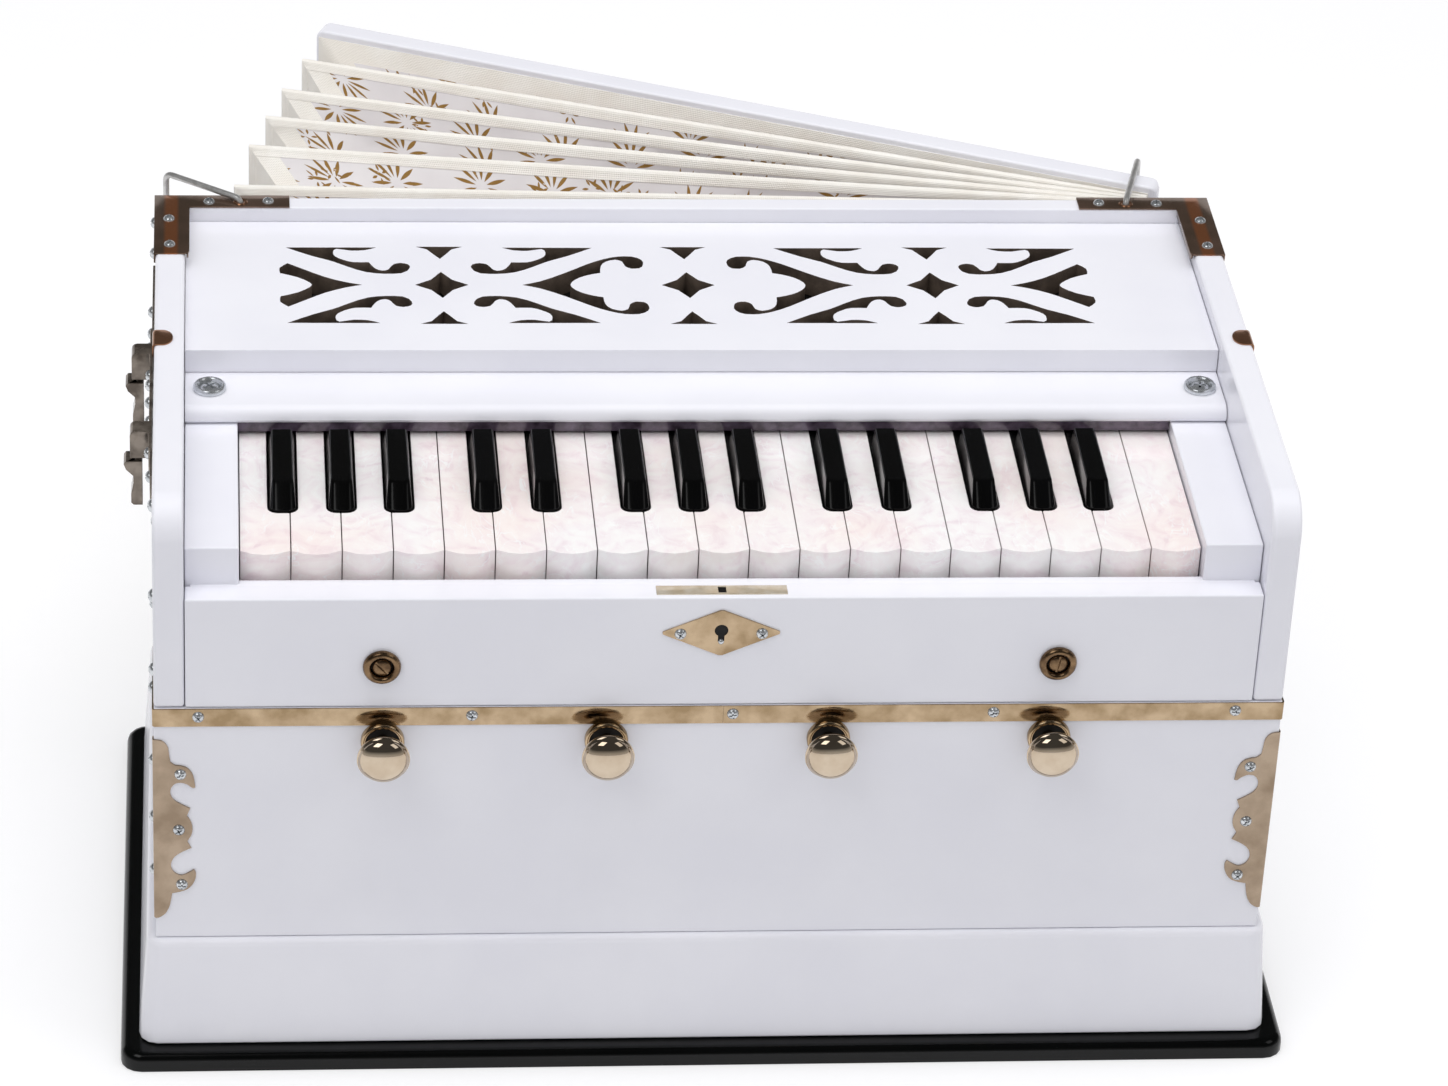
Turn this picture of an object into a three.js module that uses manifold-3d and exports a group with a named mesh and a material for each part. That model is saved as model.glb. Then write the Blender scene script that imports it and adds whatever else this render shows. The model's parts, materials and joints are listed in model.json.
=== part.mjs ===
// Portable Indian harmonium with 32 keys, its bellows open as in the photograph.
// Millimetres, +Z up, X to the right and Y to the back, seen by the player.
// The origin is the centre of the underside of the base board.

import * as THREE from "three";
import { mergeVertices } from "three/addons/utils/BufferGeometryUtils.js";
import Module from "manifold-3d";

const wasm = await Module();
wasm.setup();

// Gap kept between pieces that touch, and the overrun of every cut
const clearance = 0.3;
const overrun = 2;

// The case: its outer width, its depth from front to back, and its boards
const shell = { width: 471.8, depth: 267.3, wall: 12.7, back_wall: 9.5 };

// The black board that the case stands on
const base = { side_margin: 15.4, front_margin: 15.4, back_margin: 5, thickness: 8.5, corner: 9, edge: 4 };

// The flared plinth between the base board and the case
const plinth = { height: 50.8, foot_side: 7.6, foot_front: 7.6, foot_back: -1.8, top_side: 4.1,
  top_front: 3.5, top_back: 0.5, corner: 8, edge: 3, wall: 14 };

// The lower case with its ledges for the reed board
const lower = { height: 115.7, ledge: 8, ledge_drop: 10.6 };

// The reed board and its row of slots, one under each key
const reed = { thickness: 10, slot_width: 3.5, slot_length: 60, slot_back: 38.3 };

// The reservoir bellows inside the lower case
const reservoir = { side_gap: 48.2, front_gap: 11.3, back_gap: 19.3, fold: 12, fold_count: 3, leaf: 9 };

// The board that closes the back of the lower case and carries the outer bellows
const trunk = { depth: 31.3, foot: 98, window_side: 45.9, window_foot: 16, window_head: 14 };

// The upper case
const cheek = { height: 95.3, corner: 16 };
const front = { height: 52.6, thickness: 11.1 };

// The keys: 19 white and 13 black, from F to C
const keys = { gap: 0.6, top: 63.8, body: 15.4, front_gap: 6.2, back_gap: 17.8, pivot_inset: 8,
  lip: 3.3, black_width: 11, black_length: 60, black_rise: 8.6, black_slope: 10.2, black_shoulder: 1.1,
  black_foot_rise: 0.6, black_corner: 3.4, notch: 0.9, cap_gap: 7.4, tail_drop: 0.8 };
const white_count = 19;
// Black keys after these white keys, and how far each lies off the joint, as shares of the pitch
const octave = 7;
const black_offset_share = { 1: -0.14, 2: 0.02, 3: 0.16, 5: -0.1, 6: 0.08 };

// The frame that holds the keys: two side blocks, a bed and two rails
const key_frame = { front_gap: 0.9, left_block: 22.2, right_block: 24, block_rise: 6.5, bed_rise: 22,
  bed_thickness: 7, balance_width: 16, stop_inset: 8.7, stop_width: 12, stop_height: 19 };
const key_rail = { front: 111, shown: 31.5, lap: 7.5, thickness: 7, nose: 5 };

// The grille board, the borders round its pattern, and the pattern's offset to the left
const grille = { thickness: 10.8, side_border: 44.5, border: 22.9, offset: -3.5 };
// Share of the star pitch that the pattern reaches from its middle
const pattern_reach_share = 1.652;

// The four stop knobs and the holes that their rods run in
const knob_count = 4;
const knob = { pitch: 93.05, offset: -1.9, drop: 16.2, button: 11.2, button_front: 14.2, button_half: 5, rod: 3,
  neck: 4.4, neck_length: 3.2, inside: 48, hole: 3.5 };

// The outer bellows: five folds and a board that swing on one upright line at the right
const bellows = { axis_inset: 22.6, closed: 11.2, foot: 98, head_drop: 3.2, leaf: 28, cloth: 0.5, root: 1.6 };
const bellows_board = { left_inset: 42.4, over: 2, thickness: 10.5, foot: 96, open_degrees: 22.6 };
// How far each fold reaches past the board, and its share of the board's angle
const fold_over = { first: 8, second: 3.6, third: 0.1, fourth: -1.5, fifth: -2.1 };
const fold_turn_share = [0.0975, 0.327, 0.499, 0.666, 0.856];

// The wire bails at the back corners that hook round the bellows board
const bail = { side_inset: 37.2, foot_inset: 5.8, wire: 1.15, arm: 36, rise: 2.5, leg: 11, bend: 3,
  boss: 3, left_degrees: 147.7, right_degrees: 73.9 };

// The two catches on the left cheek
const latch = { rear: 141, front: 76, head_drop: 5.2, strip: 1.5, strip_height: 14, strip_rear: 158,
  strip_front: 58, width: 9, out: 9.3, height: 13, wall: 1.5, pin: 1, pin_rise: 4.6, pin_out: 5.8,
  roof: 2.4, lever_gap: 1.6, lever_length: 21, lip_out: 12, waist_out: 8, foot_out: 9, inner: 4.2,
  lip_height: 4, eye: 2.6 };

// Levels, from the ground up
const plinth_foot = base.thickness + clearance;
const ledge_level = plinth_foot + plinth.height;
const lower_foot = ledge_level + clearance;
const lower_top = lower_foot + lower.height;
const upper_foot = lower_top + clearance;
const cheek_top = upper_foot + cheek.height;
const front_top = upper_foot + front.height;
const key_top = lower_top + keys.top;
const key_foot = key_top - keys.body;
const block_top = key_top + key_frame.block_rise;
const rail_foot = block_top + clearance;
const rail_top = rail_foot + key_rail.thickness;
const grille_foot = rail_top + clearance;
const grille_top = grille_foot + grille.thickness;
const half_width = shell.width / 2;
const inside_half = half_width - shell.wall;
const fitted_half = inside_half - clearance;
const back_front = shell.depth - shell.back_wall;
const fitted_back = back_front - clearance;

// Places from front to back
const lower_depth = shell.depth - trunk.depth;
const lower_back_inside = lower_depth - shell.wall;
const frame_front = front.thickness + key_frame.front_gap;
const key_front = front.thickness + keys.front_gap;
const key_tail = back_front - keys.back_gap;
const key_pivot = key_tail - keys.pivot_inset;
const black_front = key_rail.front - keys.black_length;
const grille_front = key_rail.front + key_rail.shown;
const rail_back = grille_front + key_rail.lap;

// The bank of keys fills the space between the two side blocks
const left_inner = -fitted_half + key_frame.left_block;
const right_inner = fitted_half - key_frame.right_block;
const first_key = left_inner + clearance;
const pitch = (right_inner - clearance - first_key) / white_count;

// Finishes
const finish = (color, roughness, metalness) =>
  new THREE.MeshStandardMaterial({ color, roughness, metalness });
const lacquer = () => finish(0xf2f1f7, 0.25, 0);
const black_gloss = () => finish(0x0b0f10, 0.25, 0);
const pearl = () => finish(0xf3e6e6, 0.3, 0);
const ebony = () => finish(0x0c0c0d, 0.2, 0);
const nickel = () => finish(0xb7aa98, 0.2, 1);
const cloth = () => finish(0xf1ebdb, 0.8, 0);
const timber = () => finish(0x6b4f3a, 0.7, 0);
const leather = () => finish(0xd8c7a6, 0.8, 0);

const case_group = new THREE.Group();

// Shapes, each a closed geometry

function block(x, y, z) {
  const g = new THREE.BoxGeometry(x[1] - x[0], y[1] - y[0], z[1] - z[0]);
  return g.translate((x[0] + x[1]) / 2, (y[0] + y[1]) / 2, (z[0] + z[1]) / 2);
}

function outline(points) {
  return new THREE.Shape(points.map(([a, b]) => new THREE.Vector2(a, b)));
}

function swept(points, length) {
  return new THREE.ExtrudeGeometry(outline(points), { depth: length, bevelEnabled: false, steps: 1 });
}

// Outline in X and Y, from one height to another
function along_z(points, z) {
  return swept(points, z[1] - z[0]).translate(0, 0, z[0]);
}

// Outline in Y and Z, from one side to another
function along_x(points, x) {
  const turn = new THREE.Matrix4().makeBasis(
    new THREE.Vector3(0, 1, 0), new THREE.Vector3(0, 0, 1), new THREE.Vector3(1, 0, 0));
  return swept(points, x[1] - x[0]).applyMatrix4(turn).translate(x[0], 0, 0);
}

// Outline in X and Z, from front to back
function along_y(points, y) {
  const turn = new THREE.Matrix4().makeBasis(
    new THREE.Vector3(1, 0, 0), new THREE.Vector3(0, 0, 1), new THREE.Vector3(0, -1, 0));
  return swept(points, y[1] - y[0]).applyMatrix4(turn).translate(0, y[1], 0);
}

// A quarter round from one angle to another, in degrees
function arc(cx, cy, radius, from, to, steps) {
  const points = [];
  for (let i = 0; i <= steps; i += 1) {
    const a = THREE.MathUtils.degToRad(from + ((to - from) * i) / steps);
    points.push([cx + radius * Math.cos(a), cy + radius * Math.sin(a)]);
  }
  return points;
}

function rounded(x, y, radius, steps) {
  return [
    ...arc(x[1] - radius, y[0] + radius, radius, -90, 0, steps),
    ...arc(x[1] - radius, y[1] - radius, radius, 0, 90, steps),
    ...arc(x[0] + radius, y[1] - radius, radius, 90, 180, steps),
    ...arc(x[0] + radius, y[0] + radius, radius, 180, 270, steps),
  ];
}

// Rings of equal count joined into one skin, either closed on itself or with a flat cap at each end.
// From turned_from on, each four-sided face is split along its other diagonal.
function skin(rings, closed, turned_from) {
  const count = rings[0].length;
  const position = [];
  const index = [];
  rings.forEach((ring) => ring.forEach((p) => position.push(...p)));
  const last = closed ? rings.length : rings.length - 1;
  for (let r = 0; r < last; r += 1) {
    const low = r * count;
    const high = ((r + 1) % rings.length) * count;
    for (let i = 0; i < count; i += 1) {
      const j = (i + 1) % count;
      if (i >= turned_from) {
        index.push(low + i, low + j, high + i, low + j, high + j, high + i);
      } else {
        index.push(low + i, low + j, high + j, low + i, high + j, high + i);
      }
    }
  }
  if (!closed) {
    for (let i = 1; i < count - 1; i += 1) {
      index.push(0, i + 1, i);
      const top = (rings.length - 1) * count;
      index.push(top, top + i, top + i + 1);
    }
  }
  const g = new THREE.BufferGeometry();
  g.setAttribute("position", new THREE.Float32BufferAttribute(position, 3));
  g.setIndex(index);
  return g;
}

// A board with rounded corners whose width and edges change with height
function board_stack(levels, steps) {
  return skin(levels.map(({ x, y, z, radius }) => rounded(x, y, radius, steps)
    .map(([px, py]) => [px, py, z])), false);
}

// A round profile of [radius, place] pairs, turned about the Y axis
function turned_y(profile, segments, x, z) {
  const g = new THREE.LatheGeometry(profile.map(([r, y]) => new THREE.Vector2(r, y)), segments);
  return g.translate(x, 0, z);
}

// A wire along a path of points
function wire(points, radius, sides, steps) {
  const path = new THREE.CurvePath();
  for (let i = 0; i + 1 < points.length; i += 1) path.add(new THREE.LineCurve3(points[i], points[i + 1]));
  const section = outline(arc(0, 0, radius, 0, 360, sides).slice(0, sides));
  return new THREE.ExtrudeGeometry(section, { steps, extrudePath: path, bevelEnabled: false });
}

// Cuts and joins

function to_solid(geometry) {
  const g = geometry.clone();
  g.deleteAttribute("normal");
  g.deleteAttribute("uv");
  const merged = mergeVertices(g, 1e-4);
  return new wasm.Manifold(new wasm.Mesh({
    numProp: 3,
    vertProperties: merged.attributes.position.array,
    triVerts: new Uint32Array(merged.index.array),
  }));
}

function to_geometry(solid) {
  const m = solid.getMesh();
  const position = new Float32Array(m.numVert * 3);
  for (let i = 0; i < m.numVert; i += 1) {
    for (let c = 0; c < 3; c += 1) position[i * 3 + c] = m.vertProperties[i * m.numProp + c];
  }
  const g = new THREE.BufferGeometry();
  g.setAttribute("position", new THREE.BufferAttribute(position, 3));
  g.setIndex(new THREE.BufferAttribute(new Uint32Array(m.triVerts), 1));
  return g;
}

function cut(body, ...tools) {
  return to_geometry(tools.reduce((solid, tool) => solid.subtract(to_solid(tool)), to_solid(body)));
}

function join(body, ...others) {
  return to_geometry(others.reduce((solid, other) => solid.add(to_solid(other)), to_solid(body)));
}

function place(name, geometry, material, parent) {
  const g = geometry.index ? geometry.toNonIndexed() : geometry;
  g.computeVertexNormals();
  const mesh = new THREE.Mesh(g, material);
  mesh.name = name;
  (parent || case_group).add(mesh);
  return mesh;
}

// Base board, with a rounded upper edge

const base_x = [-half_width - base.side_margin, half_width + base.side_margin];
const base_y = [-base.front_margin, lower_depth + base.back_margin];

function base_level(inset, z) {
  return { x: [base_x[0] + inset, base_x[1] - inset], y: [base_y[0] + inset, base_y[1] - inset],
    z, radius: base.corner - inset };
}

const base_levels = [base_level(0, 0)];
arc(0, 0, base.edge, 0, 90, 3).forEach(([out, up]) => {
  base_levels.push(base_level(base.edge - out, base.thickness - base.edge + up));
});
place("base_board", board_stack(base_levels, 4), black_gloss());

// Plinth: flared outside, straight inside

const plinth_levels = [];
const plinth_rise = plinth.height - plinth.edge;
function plinth_level(z, side, front_at, back_at, inset) {
  const half = half_width + side - inset;
  plinth_levels.push({ x: [-half, half], y: [-front_at + inset, lower_depth + back_at - inset],
    z: plinth_foot + z, radius: plinth.corner - inset });
}
plinth_level(0, plinth.foot_side, plinth.foot_front, plinth.foot_back, 0);
arc(0, 0, plinth.edge, 0, 90, 3).forEach(([out, up]) => {
  plinth_level(plinth_rise + up, plinth.top_side, plinth.top_front, plinth.top_back, plinth.edge - out);
});
const plinth_hollow = block([-half_width + plinth.wall, half_width - plinth.wall],
  [plinth.wall, lower_depth - plinth.wall], [plinth_foot - overrun, ledge_level + overrun]);
place("plinth", cut(board_stack(plinth_levels, 3), plinth_hollow), lacquer());

// Lower case: four walls, ledges for the reed board, four holes for the stop rods

const rod_level = lower_top - knob.drop;
const knob_places = [];
for (let n = 0; n < knob_count; n += 1) {
  knob_places.push(knob.offset + (n - (knob_count - 1) / 2) * knob.pitch);
}
const ledge_top = lower_top - lower.ledge_drop;
const window_side = half_width - trunk.window_side;
const rod_holes = knob_places.map((x) => turned_y([[0, -overrun], [knob.hole, -overrun],
  [knob.hole, shell.wall + overrun], [0, shell.wall + overrun]], 12, x, rod_level));
place("lower_case", cut(
  block([-half_width, half_width], [0, lower_depth], [lower_foot, lower_top]),
  block([-inside_half, inside_half], [shell.wall, lower_back_inside], [ledge_top, lower_top + overrun]),
  block([-inside_half + lower.ledge, inside_half - lower.ledge], [shell.wall, lower_back_inside],
    [lower_foot - overrun, ledge_top + overrun]),
  block([-window_side, window_side], [lower_back_inside - overrun, lower_depth + overrun],
    [trunk.foot + trunk.window_foot, ledge_top - trunk.window_head]),
  ...rod_holes), lacquer());

// Reed board, resting on the ledges, with a slot under each key

const key_middles = [];
for (let n = 0; n < white_count; n += 1) {
  key_middles.push({ x: first_key + (n + 0.5) * pitch, white: n });
  const offset_share = black_offset_share[(n + 1) % octave];
  if (offset_share !== undefined && n + 1 < white_count) {
    key_middles.push({ x: first_key + (n + 1 + offset_share) * pitch, black: n });
  }
}
const reed_slots = key_middles.map(({ x, black }) => {
  const slot_back = lower_back_inside - reed.slot_back - (black === undefined ? reed.slot_length / 4 : 0);
  return block([x - reed.slot_width / 2, x + reed.slot_width / 2],
    [slot_back - reed.slot_length, slot_back], [ledge_top, lower_top + overrun]);
});
const reed_foot = ledge_top + clearance;
place("reed_board", cut(block([-fitted_half, fitted_half],
  [shell.wall + clearance, lower_back_inside - clearance], [reed_foot, reed_foot + reed.thickness]),
...reed_slots), timber());

// Reservoir: a pleated bag that stands on the base board

const reservoir_rings = [];
const reservoir_half = inside_half - reservoir.side_gap;
const reservoir_front = shell.wall + reservoir.front_gap;
const reservoir_back = lower_back_inside - reservoir.back_gap;
for (let i = 0; i <= 2 * reservoir.fold_count; i += 1) {
  const inset = i % 2 === 0 ? 0 : reservoir.leaf;
  reservoir_rings.push({ x: [-reservoir_half + inset, reservoir_half - inset],
    y: [reservoir_front + inset, reservoir_back - inset],
    z: plinth_foot + (i * reservoir.fold) / 2, radius: reservoir.leaf / 4 });
}
place("reservoir", board_stack(reservoir_rings, 1), leather());

// Wind trunk: the frame behind the lower case that the outer bellows hang on

place("wind_trunk", cut(
  block([-half_width, half_width], [lower_depth + clearance, shell.depth], [trunk.foot, lower_top]),
  block([-window_side, window_side], [lower_depth - overrun, shell.depth + overrun],
    [trunk.foot + trunk.window_foot, ledge_top - trunk.window_head])), lacquer());

// Upper case: cheeks, front panel and back panel

const cheek_outline = [
  [shell.depth, upper_foot],
  [shell.depth, cheek_top],
  ...arc(cheek.corner, cheek_top - cheek.corner, cheek.corner, 90, 180, 6),
  [0, upper_foot],
];
place("left_cheek", along_x(cheek_outline, [-half_width, -inside_half]), lacquer());
place("right_cheek", along_x(cheek_outline, [inside_half, half_width]), lacquer());
place("front_panel", block([-fitted_half, fitted_half], [0, front.thickness], [upper_foot, front_top]),
  lacquer());
place("back_panel", block([-fitted_half, fitted_half], [back_front, shell.depth], [upper_foot, cheek_top]),
  lacquer());

// Key frame: side blocks that step up behind the key rail, joined by the bed and the two rails

const bed_top = upper_foot + key_frame.bed_rise;
const block_outline = [
  [frame_front, upper_foot],
  [fitted_back, upper_foot],
  [fitted_back, rail_top],
  [rail_back + clearance, rail_top],
  [rail_back + clearance, block_top],
  [frame_front, block_top],
];
const bed_x = [left_inner - overrun, right_inner + overrun];
const stop_front = key_front + key_frame.stop_inset;
place("key_frame", join(
  along_x(block_outline, [-fitted_half, left_inner]),
  along_x(block_outline, [right_inner, fitted_half]),
  block(bed_x, [frame_front, fitted_back], [bed_top - key_frame.bed_thickness, bed_top]),
  block(bed_x, [key_pivot - key_frame.balance_width / 2, key_pivot + key_frame.balance_width / 2],
    [bed_top - overrun, key_foot - clearance]),
  block(bed_x, [stop_front, stop_front + key_frame.stop_width],
    [bed_top - overrun, bed_top + key_frame.stop_height])), lacquer());

// Key rail over the keys, with a rounded front edge

const nose_top = rail_top - key_rail.nose;
place("key_rail", along_x([
  [key_rail.front, rail_foot],
  [rail_back, rail_foot],
  [rail_back, rail_top],
  ...arc(key_rail.front + key_rail.nose, nose_top, key_rail.nose, 90, 180, 4),
], [-fitted_half, fitted_half]), lacquer());

// Grille board with its fretwork. Points are shares of the star pitch and of the half height.

const scroll_share = [
  [[-0.625, 0.976], [-0.523, 0.761], [-0.438, 0.615], [-0.376, 0.473], [-0.298, 0.327],
    [-0.229, 0.288], [-0.161, 0.303], [-0.126, 0.436], [-0.131, 0.533], [-0.159, 0.57],
    [-0.188, 0.542], [-0.209, 0.418], [-0.229, 0.37], [-0.252, 0.388], [-0.274, 0.473], [-0.29, 0.591]],
  [[-0.29, 0.591], [-0.353, 0.591], [-0.393, 0.652], [-0.426, 0.742], [-0.434, 0.855],
    [-0.419, 0.945], [-0.362, 0.897], [-0.305, 0.909], [-0.258, 0.979]],
  [[-0.258, 0.979], [-0.625, 0.976]],
];
const wing_share = [
  [[-0.674, 0], [-0.6, 0.094], [-0.499, 0.306], [-0.403, 0.539], [-0.333, 0.676], [-0.27, 0.748],
    [-0.215, 0.748], [-0.177, 0.658], [-0.173, 0.539], [-0.19, 0.442], [-0.221, 0.43],
    [-0.247, 0.5], [-0.257, 0.618], [-0.284, 0.664], [-0.322, 0.618], [-0.346, 0.5], [-0.352, 0.315]],
  [[-0.352, 0.315], [-0.389, 0.279], [-0.44, 0.191], [-0.472, 0.076], [-0.479, 0]],
];
const fishtail_share = [
  [[-0.323, 0], [-0.391, 0.073], [-0.469, 0.2], [-0.553, 0.397], [-0.62, 0.561]],
  [[-0.62, 0.561], [-0.652, 0.44], [-0.65, 0.3]],
  [[-0.65, 0.3], [-0.582, 0.2], [-0.532, 0.06], [-0.523, 0]],
];
// Stars with hollow sides, and the darts above and below them
const star_share = [
  [0.107, 0], [0.043, 0.133], [0, 0.335], [-0.043, 0.133],
  [-0.107, 0], [-0.043, -0.133], [0, -0.335], [0.043, -0.133],
];
const dart_share = [
  [-0.094, 1], [-0.05, 0.931], [-0.022, 0.786], [0, 0.682], [0.022, 0.786], [0.05, 0.931], [0.094, 1],
];

// A smooth line through each run of points, with a sharp corner where two runs meet
function smooth(runs, samples) {
  const points = [];
  runs.forEach((run) => {
    if (run.length === 2) {
      points.push(run[0]);
      return;
    }
    const curve = new THREE.CatmullRomCurve3(run.map(([a, b]) => new THREE.Vector3(a, b, 0)), false,
      "centripetal");
    const count = (run.length - 1) * samples;
    for (let i = 0; i < count; i += 1) {
      const p = curve.getPoint(i / count);
      points.push([p.x, p.y]);
    }
  });
  points.push(runs[runs.length - 1].slice(-1)[0]);
  return points;
}

// The same run turned over and walked back, for a shape that is alike above and below
function mirrored_down(points) {
  const under = points.slice(1, -1).map(([a, b]) => [a, -b]).reverse();
  return [...points, ...under];
}

const grille_middle = (grille_front + fitted_back) / 2;
const half_height = (fitted_back - grille_front) / 2 - grille.border;
const star_pitch = (fitted_half - grille.side_border) / pattern_reach_share;
const pattern = [];
function add_opening(points, star, flip_x, flip_y) {
  const placed = points.map(([a, b]) => [
    grille.offset + star_pitch * (star + (flip_x ? -a : a)),
    grille_middle + half_height * (flip_y ? -b : b),
  ]);
  pattern.push(along_z(placed, [grille_foot - overrun, grille_top + overrun]));
}

const scroll = smooth(scroll_share, 2).slice(0, -1);
const wing = mirrored_down(smooth(wing_share, 2));
const fishtail = mirrored_down(smooth(fishtail_share, 2));
[-1, 1].forEach((star) => {
  [false, true].forEach((flip_x) => {
    [false, true].forEach((flip_y) => add_opening(scroll, star, flip_x, flip_y));
  });
});
add_opening(wing, 0, false, false);
add_opening(wing, 0, true, false);
add_opening(fishtail, -1, false, false);
add_opening(fishtail, 1, true, false);

[-1, 0, 1].forEach((place_on) => {
  add_opening(star_share, place_on, false, false);
  add_opening(dart_share, place_on, false, false);
  add_opening(dart_share, place_on, false, true);
});
place("grille_board", cut(block([-fitted_half, fitted_half], [grille_front, fitted_back],
  [grille_foot, grille_top]), ...pattern), lacquer());

// White keys: a rounded lip in front and notches where the black keys stand

const blacks = key_middles.filter((k) => k.black !== undefined);
const notch_half = keys.black_width / 2 + keys.notch;
const notch_front = black_front - keys.notch;
const notch_corner = keys.black_corner + keys.notch;
const corner_steps = 5;

// The notch from the key's own edge to its inner side, for a black key that stands on the given side
function notch_line(black, side, edge) {
  const middle = black.x - side * (notch_half - notch_corner);
  const shown = side * (edge - middle);
  const turn = Math.acos(Math.max(0, -shown / notch_corner));
  const line = shown > 0 ? [[edge, notch_front]] : [];
  for (let i = 0; i <= corner_steps; i += 1) {
    const angle = turn * (1 - i / corner_steps);
    line.push([middle - side * notch_corner * Math.cos(angle),
      notch_front + notch_corner * (1 - Math.sin(angle))]);
  }
  return line;
}

for (let n = 0; n < white_count; n += 1) {
  const x0 = first_key + n * pitch + keys.gap / 2;
  const x1 = first_key + (n + 1) * pitch - keys.gap / 2;
  const left = blacks.find((k) => k.black === n - 1);
  const right = blacks.find((k) => k.black === n);
  const points = [];
  const lip_steps = 4;
  for (let i = 0; i <= lip_steps; i += 1) {
    const along = i / lip_steps;
    points.push([x0 + (x1 - x0) * along, key_front + keys.lip * (2 * along - 1) ** 2]);
  }
  if (right) {
    points.push(...notch_line(right, 1, x1), [right.x - notch_half, key_tail]);
  } else {
    points.push([x1, key_tail]);
  }
  if (left) {
    points.push([left.x + notch_half, key_tail], ...notch_line(left, -1, x0).reverse());
  } else {
    points.push([x0, key_tail]);
  }
  place("key_white_" + String(n + 1).padStart(2, "0"), along_z(points, [key_foot, key_top]), pearl());
}

// Black keys: a sloping front with rounded corners, narrower on top, and a lower tail under the key rail

blacks.forEach((k, n) => {
  const half = keys.black_width / 2;
  const cap_top = key_top + keys.black_rise;
  const tail_top = key_top - keys.tail_drop;
  const cap_back = key_rail.front - keys.cap_gap;
  const g = along_x([
    [black_front, key_foot],
    [key_tail, key_foot],
    [key_tail, tail_top],
    [cap_back, tail_top],
    [cap_back, cap_top],
    [black_front + keys.black_slope, cap_top],
    [black_front, key_top + keys.black_foot_rise],
  ], [-half, half]);
  const position = g.attributes.position;
  for (let i = 0; i < position.count; i += 1) {
    if (position.getZ(i) > cap_top - keys.black_foot_rise) {
      const side = Math.sign(position.getX(i));
      position.setX(i, side * (half - keys.black_shoulder));
    }
  }
  const corners = [-1, 1].map((side) => {
    const outline = [[side * (half + overrun), black_front - overrun],
      [side * (half - keys.black_corner), black_front - overrun]];
    for (let i = 0; i <= corner_steps; i += 1) {
      const angle = Math.PI / 2 * (1 - i / corner_steps);
      outline.push([side * (half - keys.black_corner * (1 - Math.cos(angle))),
        black_front + keys.black_corner * (1 - Math.sin(angle))]);
    }
    outline.push([side * (half + overrun), black_front + keys.black_corner]);
    return along_z(side > 0 ? outline.reverse() : outline, [key_foot - overrun, cap_top + overrun]);
  });
  const cap = cut(g, ...corners);
  place("key_black_" + String(n + 1).padStart(2, "0"), cap.translate(k.x, 0, 0), ebony());
});

// Stop knobs: a rod through the front wall, a neck and a flattened round button

const button_y = -knob.button_front;
const neck_front = button_y + knob.button_half * Math.sqrt(1 - (knob.neck / knob.button) ** 2);
const knob_profile = [[0, button_y - knob.button_half]];
const neck_angle = 180 - THREE.MathUtils.radToDeg(Math.asin(knob.neck / knob.button));
const button_steps = 9;
for (let i = 1; i <= button_steps; i += 1) {
  const a = THREE.MathUtils.degToRad((neck_angle * i) / button_steps);
  knob_profile.push([knob.button * Math.sin(a), button_y - knob.button_half * Math.cos(a)]);
}
knob_profile.push([knob.rod, neck_front + knob.neck_length], [knob.rod, knob.inside], [0, knob.inside]);
knob_places.forEach((x, n) => {
  place("stop_knob_" + (n + 1), turned_y(knob_profile, 16, x, rod_level), nickel());
});

// Outer bellows. Everything here is written from the upright line at the right end:
// reach is measured to the left along a fold, and the closed stack lies behind the case.

const axis = { x: half_width - bellows.axis_inset, y: shell.depth + bellows.closed };
const board_reach = axis.x + half_width - bellows_board.left_inset;
const fold_reach = Object.values(fold_over).map((over) => board_reach + over);
const half_pitch = bellows.closed / (2 * (fold_reach.length + 1));
const bellows_head = cheek_top - bellows.head_drop;

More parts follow.
